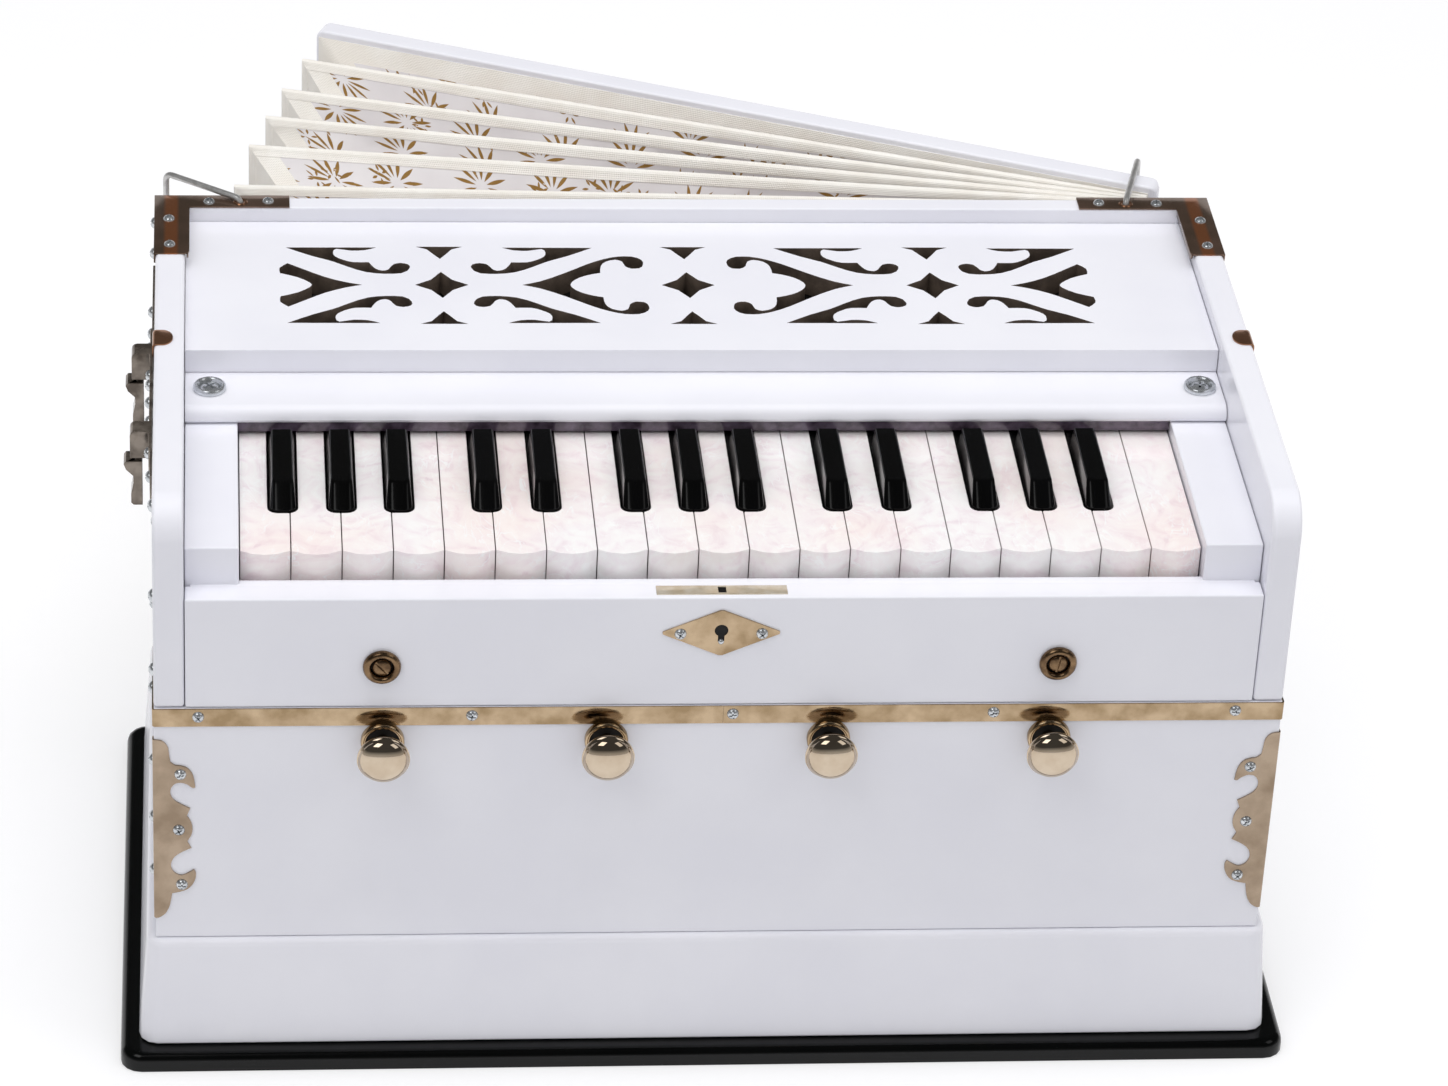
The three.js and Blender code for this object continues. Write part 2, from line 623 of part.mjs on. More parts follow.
// One fold is a ring of cloth: out at the ridge, in at the valley on each side of it.
// A fold at an end of the stack has one more leaf, out to the frame or to the board.
function fold_ring(length, front_angle, rear_angle, front_leaf, rear_leaf) {
  const open = (reach_at, angle) => half_pitch + reach_at * Math.tan(angle / 2);
  const depth_at = (reach_at) => {
    const widest = Math.max(open(reach_at, front_angle), open(reach_at, rear_angle));
    return Math.sqrt(Math.max(bellows.leaf ** 2 - widest ** 2, (bellows.leaf / 2) ** 2));
  };
  const left_depth = depth_at(length - bellows.leaf);
  const right_depth = depth_at(bellows.root + bellows.leaf);
  const left_in = length - left_depth;
  const right_in = bellows.root + right_depth;
  const walk = [];
  const long_steps = 4;
  const short_steps = 2;
  const point = (out, inner) => walk.push({ out, inner });
  for (let i = 0; i < long_steps; i += 1) {
    const t = i / long_steps;
    const r = right_in + (left_in - right_in) * t;
    point([bellows.root + (length - bellows.root) * t, bellows.foot], [r, bellows.foot + depth_at(r)]);
  }
  for (let i = 0; i < short_steps; i += 1) {
    const t = i / short_steps;
    const low = bellows.foot + left_depth;
    point([length, bellows.foot + (bellows_head - bellows.foot) * t],
      [left_in, low + (bellows_head - left_depth - low) * t]);
  }
  for (let i = 0; i < long_steps; i += 1) {
    const t = i / long_steps;
    const r = left_in + (right_in - left_in) * t;
    point([length + (bellows.root - length) * t, bellows_head], [r, bellows_head - depth_at(r)]);
  }
  for (let i = 0; i < short_steps; i += 1) {
    const t = i / short_steps;
    const high = bellows_head - right_depth;
    point([bellows.root, bellows_head + (bellows.foot - bellows_head) * t],
      [right_in, high + (bellows.foot + right_depth - high) * t]);
  }
  const rings = walk.map(({ out, inner }) => {
    const spare = clearance / 2;
    const front_open = open(inner[0], front_angle) - spare;
    const rear_open = open(inner[0], rear_angle) - spare;
    const wall_share = Math.min(0.6, bellows.cloth / Math.min(front_open, rear_open));
    const at = (in_share, y) => [
      -(out[0] + (inner[0] - out[0]) * in_share), y, out[1] + (inner[1] - out[1]) * in_share];
    const end_front = 2 * open(out[0], front_angle) - clearance;
    const end_rear = 2 * open(out[0], rear_angle) - clearance;
    const outer = [];
    const lining = [];
    if (front_leaf) {
      outer.push(at(0, -end_front + bellows.cloth), at(1, -front_open));
      lining.push(at(0, -end_front), at(1 + wall_share, -front_open));
    } else {
      outer.push(at(1, -front_open));
      lining.push(at(1, -front_open + bellows.cloth));
    }
    outer.push(at(0, 0));
    lining.push(at(wall_share, 0));
    if (rear_leaf) {
      outer.push(at(1, rear_open), at(0, end_rear - bellows.cloth));
      lining.push(at(1 + wall_share, rear_open), at(0, end_rear));
    } else {
      outer.push(at(1, rear_open));
      lining.push(at(1, rear_open - bellows.cloth));
    }
    return [...outer, ...lining.reverse()];
  });
  return skin(rings.reverse(), true, rings[0].length / 2);
}

const open_angle = THREE.MathUtils.degToRad(bellows_board.open_degrees);
fold_reach.forEach((length, n) => {
  const turn = fold_turn_share[n] * open_angle;
  const before = n === 0 ? 0 : fold_turn_share[n - 1] * open_angle;
  const after = n === fold_reach.length - 1 ? open_angle : fold_turn_share[n + 1] * open_angle;
  const g = fold_ring(length, turn - before, after - turn, n === 0, n === fold_reach.length - 1);
  g.translate(0, -bellows.closed + 2 * half_pitch * (n + 1), 0);
  const swing = new THREE.Group();
  swing.position.set(axis.x, axis.y, 0);
  swing.rotation.z = -turn;
  place("bellows_fold_" + (n + 1), g, cloth(), swing);
  case_group.add(swing);
});

const board_swing = new THREE.Group();
board_swing.position.set(axis.x, axis.y, 0);
board_swing.rotation.z = -open_angle;
place("bellows_board", block([-board_reach, bellows_board.over], [0, bellows_board.thickness],
  [bellows_board.foot, cheek_top]), lacquer(), board_swing);
case_group.add(board_swing);

// Wire bails: a foot on the back panel, an arm over the bellows and a leg down behind the board

function add_bail(name, side, degrees) {
  const foot = new THREE.Vector3(side * (half_width - bail.side_inset), shell.depth - bail.foot_inset, 0);
  const foot_level = cheek_top + clearance;
  const arm_level = cheek_top + bail.rise;
  const a = THREE.MathUtils.degToRad(degrees);
  const away = new THREE.Vector3(Math.cos(a), Math.sin(a), 0);
  const at = (out, z) => foot.clone().addScaledVector(away, out).setZ(z);
  const rod = wire([at(0, arm_level), at(bail.arm - bail.bend, arm_level),
    at(bail.arm, arm_level - bail.bend), at(bail.arm, arm_level - bail.leg)], bail.wire, 8, 12);
  const boss_height = bail.rise + bail.wire - clearance;
  const boss = new THREE.CylinderGeometry(bail.boss, bail.boss, boss_height, 12);
  boss.rotateX(Math.PI / 2);
  boss.translate(foot.x, foot.y, foot_level + boss_height / 2);
  place(name, join(boss, rod), nickel());
}
add_bail("bail_left", -1, bail.left_degrees);
add_bail("bail_right", 1, bail.right_degrees);

// Catches on the left cheek: a strip with two brackets, and a lever hung in each bracket

const face = -half_width - clearance;
const bracket_top = cheek_top - latch.head_drop;
const bracket_foot = bracket_top - latch.height;
const pin_level = bracket_foot + latch.pin_rise;
const pin_x = face - latch.pin_out;
const slot_half = latch.width / 2 - latch.wall;

function pin(radius, y_half, y, sides) {
  return turned_y([[0, -y_half], [radius, -y_half], [radius, y_half], [0, y_half]], sides, pin_x, pin_level)
    .translate(0, y, 0);
}

const latch_rows = [latch.rear, latch.front];
const brackets = latch_rows.map((y) => cut(
  along_y([
    [face, bracket_foot],
    [face, bracket_top],
    ...arc(face - latch.out + latch.roof, bracket_top - latch.roof, latch.roof, 90, 180, 3),
    [face - latch.out, bracket_foot],
  ], [y - latch.width / 2, y + latch.width / 2]),
  block([face - latch.out - overrun, face - latch.strip], [y - slot_half, y + slot_half],
    [bracket_foot - overrun, bracket_top - latch.roof])));
const pins = latch_rows.map((y) => pin(latch.pin, slot_half + latch.wall / 2, y, 8));
place("catch_plate", join(
  block([face - latch.strip, face], [latch.strip_front, latch.strip_rear],
    [bracket_top - latch.strip_height, bracket_top]), ...brackets, ...pins), nickel());

// The lever: an eye round the pin, a finger lip, a narrow waist and a foot
const lever_top = bracket_foot - latch.lever_gap;
const lever_foot = lever_top - latch.lever_length;
const lever_inner = face - latch.inner;
const lever_outline = [
  [lever_inner, lever_top],
  [face - latch.lip_out + latch.lip_height / 4, lever_top],
  [face - latch.lip_out, lever_top - latch.lip_height / 3],
  [face - latch.lip_out + latch.lip_height / 4, lever_top - latch.lip_height],
  [face - latch.waist_out, lever_top - latch.lever_length / 3],
  [face - latch.waist_out, lever_top - latch.lever_length / 2],
  [face - latch.foot_out, lever_foot + latch.lever_length / 4],
  [face - latch.foot_out, lever_foot + latch.lip_height / 4],
  [face - latch.waist_out, lever_foot],
  [lever_inner, lever_foot],
];
latch_rows.forEach((y, n) => {
  const eye_half = slot_half - clearance;
  const lever_half = latch.width / 2;
  place("catch_lever_" + (n + 1), cut(
    join(
      along_y(lever_outline, [y - lever_half, y + lever_half]),
      block([pin_x - latch.eye / 2, pin_x + latch.eye / 2], [y - eye_half, y + eye_half],
        [lever_top - latch.lip_height / 2, pin_level]),
      pin(latch.eye, eye_half, y, 12)),
    pin(latch.pin + clearance, latch.width, y, 8)), nickel());
});

// The whole instrument, moved so that the base board is centred on the origin
const harmonium = new THREE.Group();
case_group.position.y = -(base_y[0] + base_y[1]) / 2;
harmonium.add(case_group);

export default harmonium;
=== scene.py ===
"""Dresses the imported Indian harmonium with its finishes, metalwork and bellows, and sets the studio.

Lengths in the classes are millimetres. Places are written from the front of the case, with X to the
right, Y to the back and Z up from the ground, and ``row`` turns them into metres of the frame.
"""

from __future__ import annotations

import json
import logging
import math
from collections.abc import Callable, Iterable, Iterator
from contextlib import contextmanager
from dataclasses import dataclass, field
from enum import Enum
from functools import cache
from typing import Any

import bmesh
import bpy
from mathutils import Matrix, Vector

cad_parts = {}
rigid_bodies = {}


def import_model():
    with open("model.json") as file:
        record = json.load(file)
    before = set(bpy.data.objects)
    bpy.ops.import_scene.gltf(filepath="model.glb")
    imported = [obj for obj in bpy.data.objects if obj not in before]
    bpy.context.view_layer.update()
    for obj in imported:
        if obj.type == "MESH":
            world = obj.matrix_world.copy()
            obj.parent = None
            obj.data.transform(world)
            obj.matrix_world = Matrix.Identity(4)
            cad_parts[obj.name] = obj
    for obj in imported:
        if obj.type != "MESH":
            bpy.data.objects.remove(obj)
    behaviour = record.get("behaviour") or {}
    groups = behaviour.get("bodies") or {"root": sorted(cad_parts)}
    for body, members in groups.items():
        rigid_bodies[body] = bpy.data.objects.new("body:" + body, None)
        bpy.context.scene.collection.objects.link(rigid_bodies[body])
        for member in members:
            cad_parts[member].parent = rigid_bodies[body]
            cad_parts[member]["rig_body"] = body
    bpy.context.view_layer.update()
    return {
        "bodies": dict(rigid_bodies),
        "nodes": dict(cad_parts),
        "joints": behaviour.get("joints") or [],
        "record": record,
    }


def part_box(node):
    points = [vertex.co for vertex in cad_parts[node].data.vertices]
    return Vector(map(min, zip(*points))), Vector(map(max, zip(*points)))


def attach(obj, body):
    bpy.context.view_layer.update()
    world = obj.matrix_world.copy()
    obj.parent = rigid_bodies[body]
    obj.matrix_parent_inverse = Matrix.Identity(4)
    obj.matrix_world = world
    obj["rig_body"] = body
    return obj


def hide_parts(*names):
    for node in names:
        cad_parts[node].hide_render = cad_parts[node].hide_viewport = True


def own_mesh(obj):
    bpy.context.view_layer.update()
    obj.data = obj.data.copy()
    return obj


LOG = logging.getLogger("harmonium")
MM = 0.001
CASE_FRONT = -112.8
CASE_TOP = 271.2
HALF_WIDTH = 235.9

RIGHT, BACK, UP, LEFT, FRONT = (1, 0, 0), (0, 1, 0), (0, 0, 1), (-1, 0, 0), (0, -1, 0)
SIDES = (-1, 1)
MIRRORED = (False, True)

Point2 = tuple[float, float]
Point3 = tuple[float, float, float]
Mesh = bpy.types.Mesh
Piece = bpy.types.Object


def row(x: float, y: float, z: float) -> Vector:
    """Turns a place in case millimetres into metres of the frame."""
    return Vector((x, y + CASE_FRONT, z)) * MM


def srgb(code: str) -> tuple[float, float, float, float]:
    """Turns a hex colour into linear light.

    Args:
        code: The colour as #RRGGBB in sRGB.

    Returns:
        Linear red, green and blue, with an alpha of one.
    """
    parts = [int(code[i : i + 2], 16) / 255 for i in (1, 3, 5)]
    red, green, blue = (c / 12.92 if c <= 0.04045 else ((c + 0.055) / 1.055) ** 2.4 for c in parts)
    return red, green, blue, 1.0


@dataclass
class Graph:
    """A node tree in the making. The short methods add one node and give the socket that leaves it."""

    tree: bpy.types.NodeTree

    @classmethod
    def of(cls, owner: bpy.types.Material | bpy.types.World) -> Graph:
        """Gives a material or a world an empty tree."""
        owner.use_nodes = True
        owner.node_tree.nodes.clear()
        return cls(owner.node_tree)

    @classmethod
    def geometry(cls, name: str, inputs: dict[str, str]) -> Graph:
        """Starts a Geometry Nodes tree.

        Args:
            name: The tree's name.
            inputs: The kind of each input by its name.

        Returns:
            The tree, with one geometry output.
        """
        tree = bpy.data.node_groups.new(name, "GeometryNodeTree")
        for label, kind in inputs.items():
            tree.interface.new_socket(label, in_out="INPUT", socket_type=f"NodeSocket{kind}")
        tree.interface.new_socket("Made", in_out="OUTPUT", socket_type="NodeSocketGeometry")
        return cls(tree)

    def node(self, kind: str, given: dict[str | int, Any] | None = None) -> Any:
        """Adds one node.

        Args:
            kind: The node's type.
            given: Values of its attributes, and values or sockets for its inputs, by name or number.

        Returns:
            The new node.
        """
        node = self.tree.nodes.new(kind)
        for name, value in (given or {}).items():
            if isinstance(value, bpy.types.NodeSocket):
                self.tree.links.new(value, node.inputs[name])
            elif isinstance(name, int) or name in node.inputs:
                node.inputs[name].default_value = value
            else:
                setattr(node, name, value)
        return node

    def add(self, kind: str, given: dict[str | int, Any] | None = None) -> Any:
        """Adds one node and gives its first output."""
        return self.node(kind, given).outputs[0]

    def calc(self, operation: str, *values: Any) -> Any:
        """Reckons with numbers."""
        return self.add("ShaderNodeMath", {"operation": operation, **dict(enumerate(values))})

    def vector(self, operation: str, *values: Any) -> Any:
        """Reckons with vectors."""
        made = self.node("ShaderNodeVectorMath", {"operation": operation, **dict(enumerate(values))})
        return made.outputs["Value" if operation in ("LENGTH", "DOT_PRODUCT") else "Vector"]

    def remap(self, value: Any, low: float, high: float, first: float = 0.0, last: float = 1.0) -> Any:
        """Stretches the range from low to high over the one from first to last."""
        return self.add("ShaderNodeMapRange", {0: value, 1: low, 2: high, 3: first, 4: last})

    def mapping(self, place: Any, **given: Point3) -> Any:
        """Moves, turns or stretches coordinates."""
        return self.add("ShaderNodeMapping", {"Vector": place, **given})

    def noise(self, place: Any, scale: float, detail: float = 2.0, **given: float) -> Any:
        """Adds cloudy noise."""
        return self.add("ShaderNodeTexNoise", {"Vector": place, "Scale": scale, "Detail": detail, **given})

    def average(self, share: Any, low: Any, high: Any) -> Any:
        """Mixes two numbers."""
        return self.add("ShaderNodeMix", {0: share, 2: low, 3: high})

    def blend(self, share: Any, low: Any, high: Any, mode: str = "MIX") -> Any:
        """Mixes two colours, each a socket or a hex colour."""
        low, high = (srgb(colour) if isinstance(colour, str) else colour for colour in (low, high))
        given = {"data_type": "RGBA", "blend_type": mode, 0: share, 6: low, 7: high}
        return self.node("ShaderNodeMix", given).outputs[2]

    def bump(self, height: Any, strength: float, distance: float = 0.0003) -> Any:
        """Turns a height into a bent normal."""
        return self.add("ShaderNodeBump", {"Strength": strength, "Distance": distance, "Height": height})

    def close(self, geometry: Any, finish: Any) -> None:
        """Ends a Geometry Nodes tree in real geometry with its material."""
        real = self.add("GeometryNodeRealizeInstances", {0: geometry})
        coloured = self.add("GeometryNodeSetMaterial", {0: real, "Material": finish})
        self.node("NodeGroupOutput", {0: coloured})

    def run(self, made: Piece, values: dict[str, Any], degrees: float) -> Piece:
        """Applies a Geometry Nodes tree to an object.

        Args:
            made: The object.
            values: The tree's inputs by name.
            degrees: Angle above which an edge of the result shows.

        Returns:
            A plain object of the same name.
        """
        sockets = {item.name: item.identifier for item in self.tree.interface.items_tree}
        modifier = made.modifiers.new(self.tree.name, "NODES")
        modifier.node_group = self.tree
        for label, value in values.items():
            modifier[sockets[label]] = value
        made = settle(made)
        shade(made.data, degrees)
        return made


@dataclass
class Surface(Graph):
    """A material in the making, with its principled shader and the object coordinates."""

    shader: Any
    place: Any

    def feed(self, name: str, socket: Any) -> Any:
        """Links a socket to an input of the shader, and gives the socket back."""
        self.tree.links.new(socket, self.shader.inputs[name])
        return socket

    def spread(self) -> Any:
        """Gives the map of the bellows, in centimetres along and across the card."""
        return self.add("ShaderNodeUVMap", {"uv_map": "print"})


class Slot(Enum):
    """The material slots that the record names."""

    LACQUER = "white_lacquer"
    BLACK_GLOSS = "black_gloss"
    PEARL = "pearl_celluloid"
    BLACK_KEY = "black_key_gloss"
    NICKEL = "warm_nickel"
    BRONZE = "dark_bronze_plate"
    STEEL = "bright_steel"
    BRASS = "antique_brass"
    CLOTH = "bellows_cloth"
    PAPER = "bellows_paper"
    LEATHER = "bellows_leather"
    TEAK = "teak"


@dataclass(frozen=True)
class Finish:
    """A surface as its maker left it, with two tones that drift into each other."""

    name: str
    slot: Slot
    colour: str
    second: str
    roughness: float
    metallic: float = 0.0
    coat: float = 0.0
    specular: float = 0.5
    drift_mm: float = 60.0
    grain_mm: float = 2.5
    grain: float = 0.05

    @cache
    def material(self) -> bpy.types.Material:
        """Builds the material the first time and hands the same one out later.

        Returns:
            The finish as a node material.
        """
        made = bpy.data.materials.new(self.name)
        graph = Graph.of(made)
        given = {
            "Base Color": srgb(self.colour), "Roughness": self.roughness, "Metallic": self.metallic,
            "Coat Weight": self.coat, "Specular IOR Level": self.specular, "Coat Roughness": 0.04,
        }
        shader = graph.node("ShaderNodeBsdfPrincipled", given)
        graph.node("ShaderNodeOutputMaterial", {"Surface": shader.outputs[0]})
        place = graph.node("ShaderNodeTexCoord").outputs["Object"]
        self.detail(Surface(graph.tree, shader, place))
        return made

    def detail(self, skin: Surface) -> None:
        """Adds the drift of tone and the fine relief."""
        self.drift(skin)
        self.relief(skin)

    def drift(self, skin: Surface) -> Any:
        """Lets the two tones drift over the surface, and gives the colour socket."""
        cloud = skin.noise(skin.place, 1 / (self.drift_mm * MM), 4.0)
        return skin.feed("Base Color", skin.blend(skin.remap(cloud, 0.35, 0.65), self.colour, self.second))

    def relief(self, skin: Surface) -> None:
        """Adds the fine relief."""
        skin.feed("Normal", skin.bump(skin.noise(skin.place, 1 / (self.grain_mm * MM)), self.grain))


@dataclass(frozen=True)
class TarnishedMetal(Finish):
    """Plated sheet metal: blotches of tarnish change both its tone and its shine."""

    dull: float = 0.34
    marks_scale: float = 260.0
    marks_stretch: float = 9.0

    def detail(self, skin: Surface) -> None:
        """Adds blotches, fine rubbing marks and relief."""
        self.drift(skin)
        stretched = skin.mapping(skin.place, Scale=(1.0, 1.0, self.marks_stretch))
        rubbing = skin.noise(stretched, self.marks_scale, 5.0)
        skin.feed("Roughness", skin.remap(rubbing, 0.3, 0.75, self.roughness, self.dull))
        skin.feed("Normal", skin.bump(rubbing, self.grain))


@dataclass(frozen=True)
class StreakedPlate(TarnishedMetal):
    """Dark plate whose arms are rubbed orange along their middle."""

    rubbed: str = "#A2653F"
    middle_mm: float = 229.2
    half_mm: float = 2.2
    fade_mm: float = 1.4

    def drift(self, skin: Surface) -> Any:
        """Lays the rubbed streak over the drifting tones, and gives the colour socket."""
        tone = super().drift(skin)
        side = skin.calc("ABSOLUTE", skin.add("ShaderNodeSeparateXYZ", {0: skin.place}))
        off = skin.calc("ABSOLUTE", skin.calc("SUBTRACT", side, self.middle_mm * MM))
        edge = skin.remap(off, self.half_mm * MM, (self.half_mm + self.fade_mm) * MM, 0.8, 0.0)
        return skin.feed("Base Color", skin.blend(edge, tone, self.rubbed))


@dataclass(frozen=True)
class PearlCelluloid(Finish):
    """Pearl celluloid: flakes of mother-of-pearl, each shaded across its own width, and fine creases."""

    flake_mm: float = 13.0
    small_flake_mm: float = 5.85
    small_share: float = 0.42
    bend: float = 1.9
    crease_mm: float = 9.0
    cloud_mm: float = 21.0
    cloud_share: float = 0.58
    deep: str = "#EBDFE5"
    light: str = "#FCF9F9"
    warm: str = "#FFF7F4"
    clear: str = "#FFFFFF"

    def detail(self, skin: Surface) -> None:
        """Lays two sheets of bent flakes over each other, clouds and creases them and polishes them."""
        broad = self.flakes(skin, self.flake_mm, 0.0)
        small = self.flakes(skin, self.small_flake_mm, 3.7)
        cloud = skin.noise(skin.place, 1 / (self.cloud_mm * MM), 3.0, Roughness=0.42, Distortion=3.4)
        sheets = skin.average(self.small_share, broad, small)
        both = skin.average(self.cloud_share, sheets, skin.remap(cloud, 0.26, 0.6))
        ramp = skin.node("ShaderNodeValToRGB", {0: both})
        tones = ramp.color_ramp.elements
        tones[0].color, tones[1].color = srgb(self.deep), srgb(self.clear)
        for height, colour in ((0.25, self.second), (0.5, self.colour), (0.75, self.light)):
            tones.new(height).color = srgb(colour)
        blush = skin.remap(skin.noise(skin.place, 1 / (self.drift_mm * MM), 1.0), 0.4, 0.65)
        warmed = skin.blend(blush, ramp.outputs[0], self.warm, "MULTIPLY")
        skin.feed("Base Color", skin.blend(self.creases(skin), warmed, self.clear))
        skin.feed("Normal", skin.bump(both, self.grain))

    def flakes(self, skin: Surface, size_mm: float, seed: float) -> Any:
        """Lays one sheet of flakes, each with its own direction of shading.

        Args:
            skin: The material in the making.
            size_mm: How wide a flake is.
            seed: Moves the sheet, so that two sheets differ.

        Returns:
            A socket from zero in the deep parts to one in the light ones.
        """
        size = size_mm * MM
        turn = (0.0, 0.0, 0.6 + seed)
        moved = skin.mapping(skin.place, Location=(seed,) * 3, Rotation=turn, Scale=(1.0, 0.5, 1.0))
        swirl = skin.node("ShaderNodeTexNoise", {"Scale": 0.8 / size, "Detail": 3.0, "Vector": moved})
        bent = skin.vector("MULTIPLY_ADD", swirl.outputs[1], (size * self.bend,) * 3, moved)
        flakes = skin.node("ShaderNodeTexVoronoi", {"Scale": 1 / size, "Vector": bent}).outputs
        local = skin.vector("SUBTRACT", bent, flakes["Position"])
        way = skin.vector("SUBTRACT", flakes["Color"], (0.5, 0.5, 0.5))
        return skin.remap(skin.vector("DOT_PRODUCT", local, way), -0.42 * size, 0.42 * size)

    def creases(self, skin: Surface) -> Any:
        """Draws thin bright creases that come and go.

        Args:
            skin: The material in the making.

        Returns:
            A socket that is highest on a crease.
        """
        long = skin.mapping(skin.place, Rotation=(0.0, 0.0, 0.9), Scale=(1.0, 0.45, 1.0))
        wander = skin.noise(long, 1 / (self.crease_mm * MM), 3.0, Distortion=1.4)
        away = skin.calc("ABSOLUTE", skin.calc("SUBTRACT", wander, 0.5))
        fading = skin.noise(skin.place, 0.7 / (self.crease_mm * MM))
        return skin.calc("MULTIPLY", skin.remap(away, 0.0, 0.03, 0.8, 0.0), skin.remap(fading, 0.42, 0.6))


@dataclass(frozen=True)
class Blossom:
    """One kind of printed flower, in centimetres, in the cells of a loose grid."""

    cell: float
    petals: float
    petal_start: float
    petal_end: float
    petal_half: float
    jitter: float
    missing: float

    def draw(self, skin: Surface, spread: Any) -> Any:
        """Draws the flower.

        Args:
            skin: The material in the making.
            spread: The map in centimetres.

        Returns:
            A socket that is one on the ink.
        """
        grid = {"voronoi_dimensions": "2D", "Scale": 1 / self.cell, "Randomness": self.jitter}
        cells = skin.node("ShaderNodeTexVoronoi", {**grid, "Vector": spread}).outputs
        local = skin.vector("SUBTRACT", spread, cells["Position"])
        parts = skin.node("ShaderNodeSeparateXYZ", {0: local}).outputs
        chance = skin.node("ShaderNodeSeparateColor", {0: cells["Color"]}).outputs
        out = skin.vector("LENGTH", local)
        angle = skin.calc("ARCTAN2", parts[0], parts[1])
        spoke = skin.calc("FRACT", skin.calc("MULTIPLY_ADD", angle, self.petals / math.tau, chance[0]))
        side = skin.calc("ABSOLUTE", skin.calc("SUBTRACT", spoke, 0.5))
        lateral = skin.calc("MULTIPLY", skin.calc("MULTIPLY", side, math.tau / self.petals), out)
        along = skin.remap(out, self.petal_start, self.petal_end, 0.0, math.pi)
        width = skin.calc("MULTIPLY", skin.calc("SINE", along), self.petal_half)
        inked = skin.remap(skin.calc("SUBTRACT", width, lateral), 0.0, 0.012)
        return skin.calc("MULTIPLY", inked, skin.calc("GREATER_THAN", chance[1], self.missing))


@dataclass(frozen=True)
class PrintedPaper(Finish):
    """Marble-white paper printed with small gold-brown flowers and sprigs."""

    gold: str = "#A67E3A"
    dark_gold: str = "#7F5C24"
    flower: Blossom = Blossom(3.4, 12.0, 0.24, 1.3, 0.088, 0.35, 0.05)
    sprig: Blossom = Blossom(1.904, 6.0, 0.14, 0.5, 0.06, 0.9, 0.3)

    def detail(self, skin: Surface) -> None:
        """Prints open flowers of twelve slender petals with small sprigs between them."""
        paper, spread = self.drift(skin), skin.spread()
        ink = skin.calc("MAXIMUM", self.flower.draw(skin, spread), self.sprig.draw(skin, spread))
        patches = skin.noise(skin.place, 420.0)
        gold = skin.blend(patches, self.gold, self.dark_gold)
        shown = skin.calc("MULTIPLY", ink, skin.remap(patches, 0.2, 0.3))
        skin.feed("Base Color", skin.blend(shown, paper, gold))
        self.relief(skin)


@dataclass(frozen=True)
class BindingCloth(Finish):
    """Cream cotton binding: a plain weave, drawn coarse enough to show, with stains of glue."""

    thread_mm: float = 0.9
    sheen: float = 0.25

    def detail(self, skin: Surface) -> None:
        """Adds the weave, soft creases and the stains."""
        self.drift(skin)
        skin.shader.inputs["Sheen Weight"].default_value = self.sheen
        wave = {"Scale": 10 / self.thread_mm / 3, "Distortion": 0.6, "Vector": skin.spread()}
        threads = [skin.node("ShaderNodeTexWave", {"bands_direction": d, **wave}).outputs[1] for d in "XY"]
        creases = skin.noise(skin.place, 130.0, 3.0)
        height = skin.calc("MULTIPLY_ADD", creases, 2.6, skin.calc("ADD", *threads))
        skin.feed("Normal", skin.bump(height, 0.35, 0.0004))


# Sprayed polyurethane lacquer, bluish white: an even gloss with a slight orange peel
LACQUER = Finish("sprayed_white_lacquer", Slot.LACQUER, "#F3F3FA", "#EFEFF7", 0.26, coat=0.25, grain=0.035)
# Black enamel on the base: deep, with narrow highlights on its rounded edge
BLACK_ENAMEL = Finish(
    "black_enamel", Slot.BLACK_GLOSS, "#020303", "#050606", 0.16, specular=0.28, grain=0.03
)
# Pearl celluloid on the natural keys: pink-white flakes under a polished face
PEARL = PearlCelluloid(
    "polished_pearl_celluloid", Slot.PEARL, "#FAF4F6", "#F5EBEF", 0.16, coat=0.3, grain=0.02
)
# Cast black celluloid on the sharps: polished, black until a lamp strikes its slope
BLACK_CELLULOID = Finish(
    "polished_black_celluloid", Slot.BLACK_KEY, "#030303", "#060607", 0.16, specular=0.22, grain=0.03
)
# Nickel plate that has gone warm: brownish blotches on a fairly bright sheet
WARM_NICKEL = TarnishedMetal(
    "warm_nickel_plate", Slot.NICKEL, "#BFA88A", "#9A8364", 0.07, 1.0, drift_mm=11.0, grain=0.02, dull=0.2
)
# The same plate on the corner guards, in a darker and browner tone than on the band
GUARD_NICKEL = TarnishedMetal(
    "darker_guard_nickel_plate", Slot.NICKEL, "#AB9985", "#8F7D6A", 0.09, 1.0, drift_mm=14.0, grain=0.03, dull=0.22
)
# Buffed nickel on the knobs: a mirror with faint speckles
BUFFED_NICKEL = TarnishedMetal(
    "buffed_nickel", Slot.NICKEL, "#CDBDA8", "#C2B09A", 0.03, 1.0, drift_mm=9.0, grain=0.004, dull=0.045
)
# Nickel of the lock strike, worn bright by the bolt
STRIKE_NICKEL = TarnishedMetal(
    "bolt_worn_nickel", Slot.NICKEL, "#E6DCCB", "#CFC0A6", 0.16, 0.45, drift_mm=7.0, grain=0.01, dull=0.26
)
# Nickel of the catches and the cheek strips, its colour darkened as painted dark reflection of the room
DARK_REFLECTION_NICKEL = TarnishedMetal(
    "nickel_with_painted_dark_reflection", Slot.NICKEL, "#8F857B", "#5C534B", 0.08, 0.62, drift_mm=7.0, grain=0.02, dull=0.16
)
# Bronze plate darkened with chemicals and polished: brown black with a rubbed orange streak
DARK_BRONZE = StreakedPlate(
    "dark_bronze", Slot.BRONZE, "#80685A", "#685648", 0.12, 0.72, drift_mm=22.0, grain=0.006, dull=0.16
)
# Bronze of the straps and bushings: an even brown
BROWN_BRONZE = TarnishedMetal(
    "brown_bronze", Slot.BRONZE, "#A87C5E", "#946A50", 0.16, 0.85, drift_mm=14.0, grain=0.008, dull=0.22
)
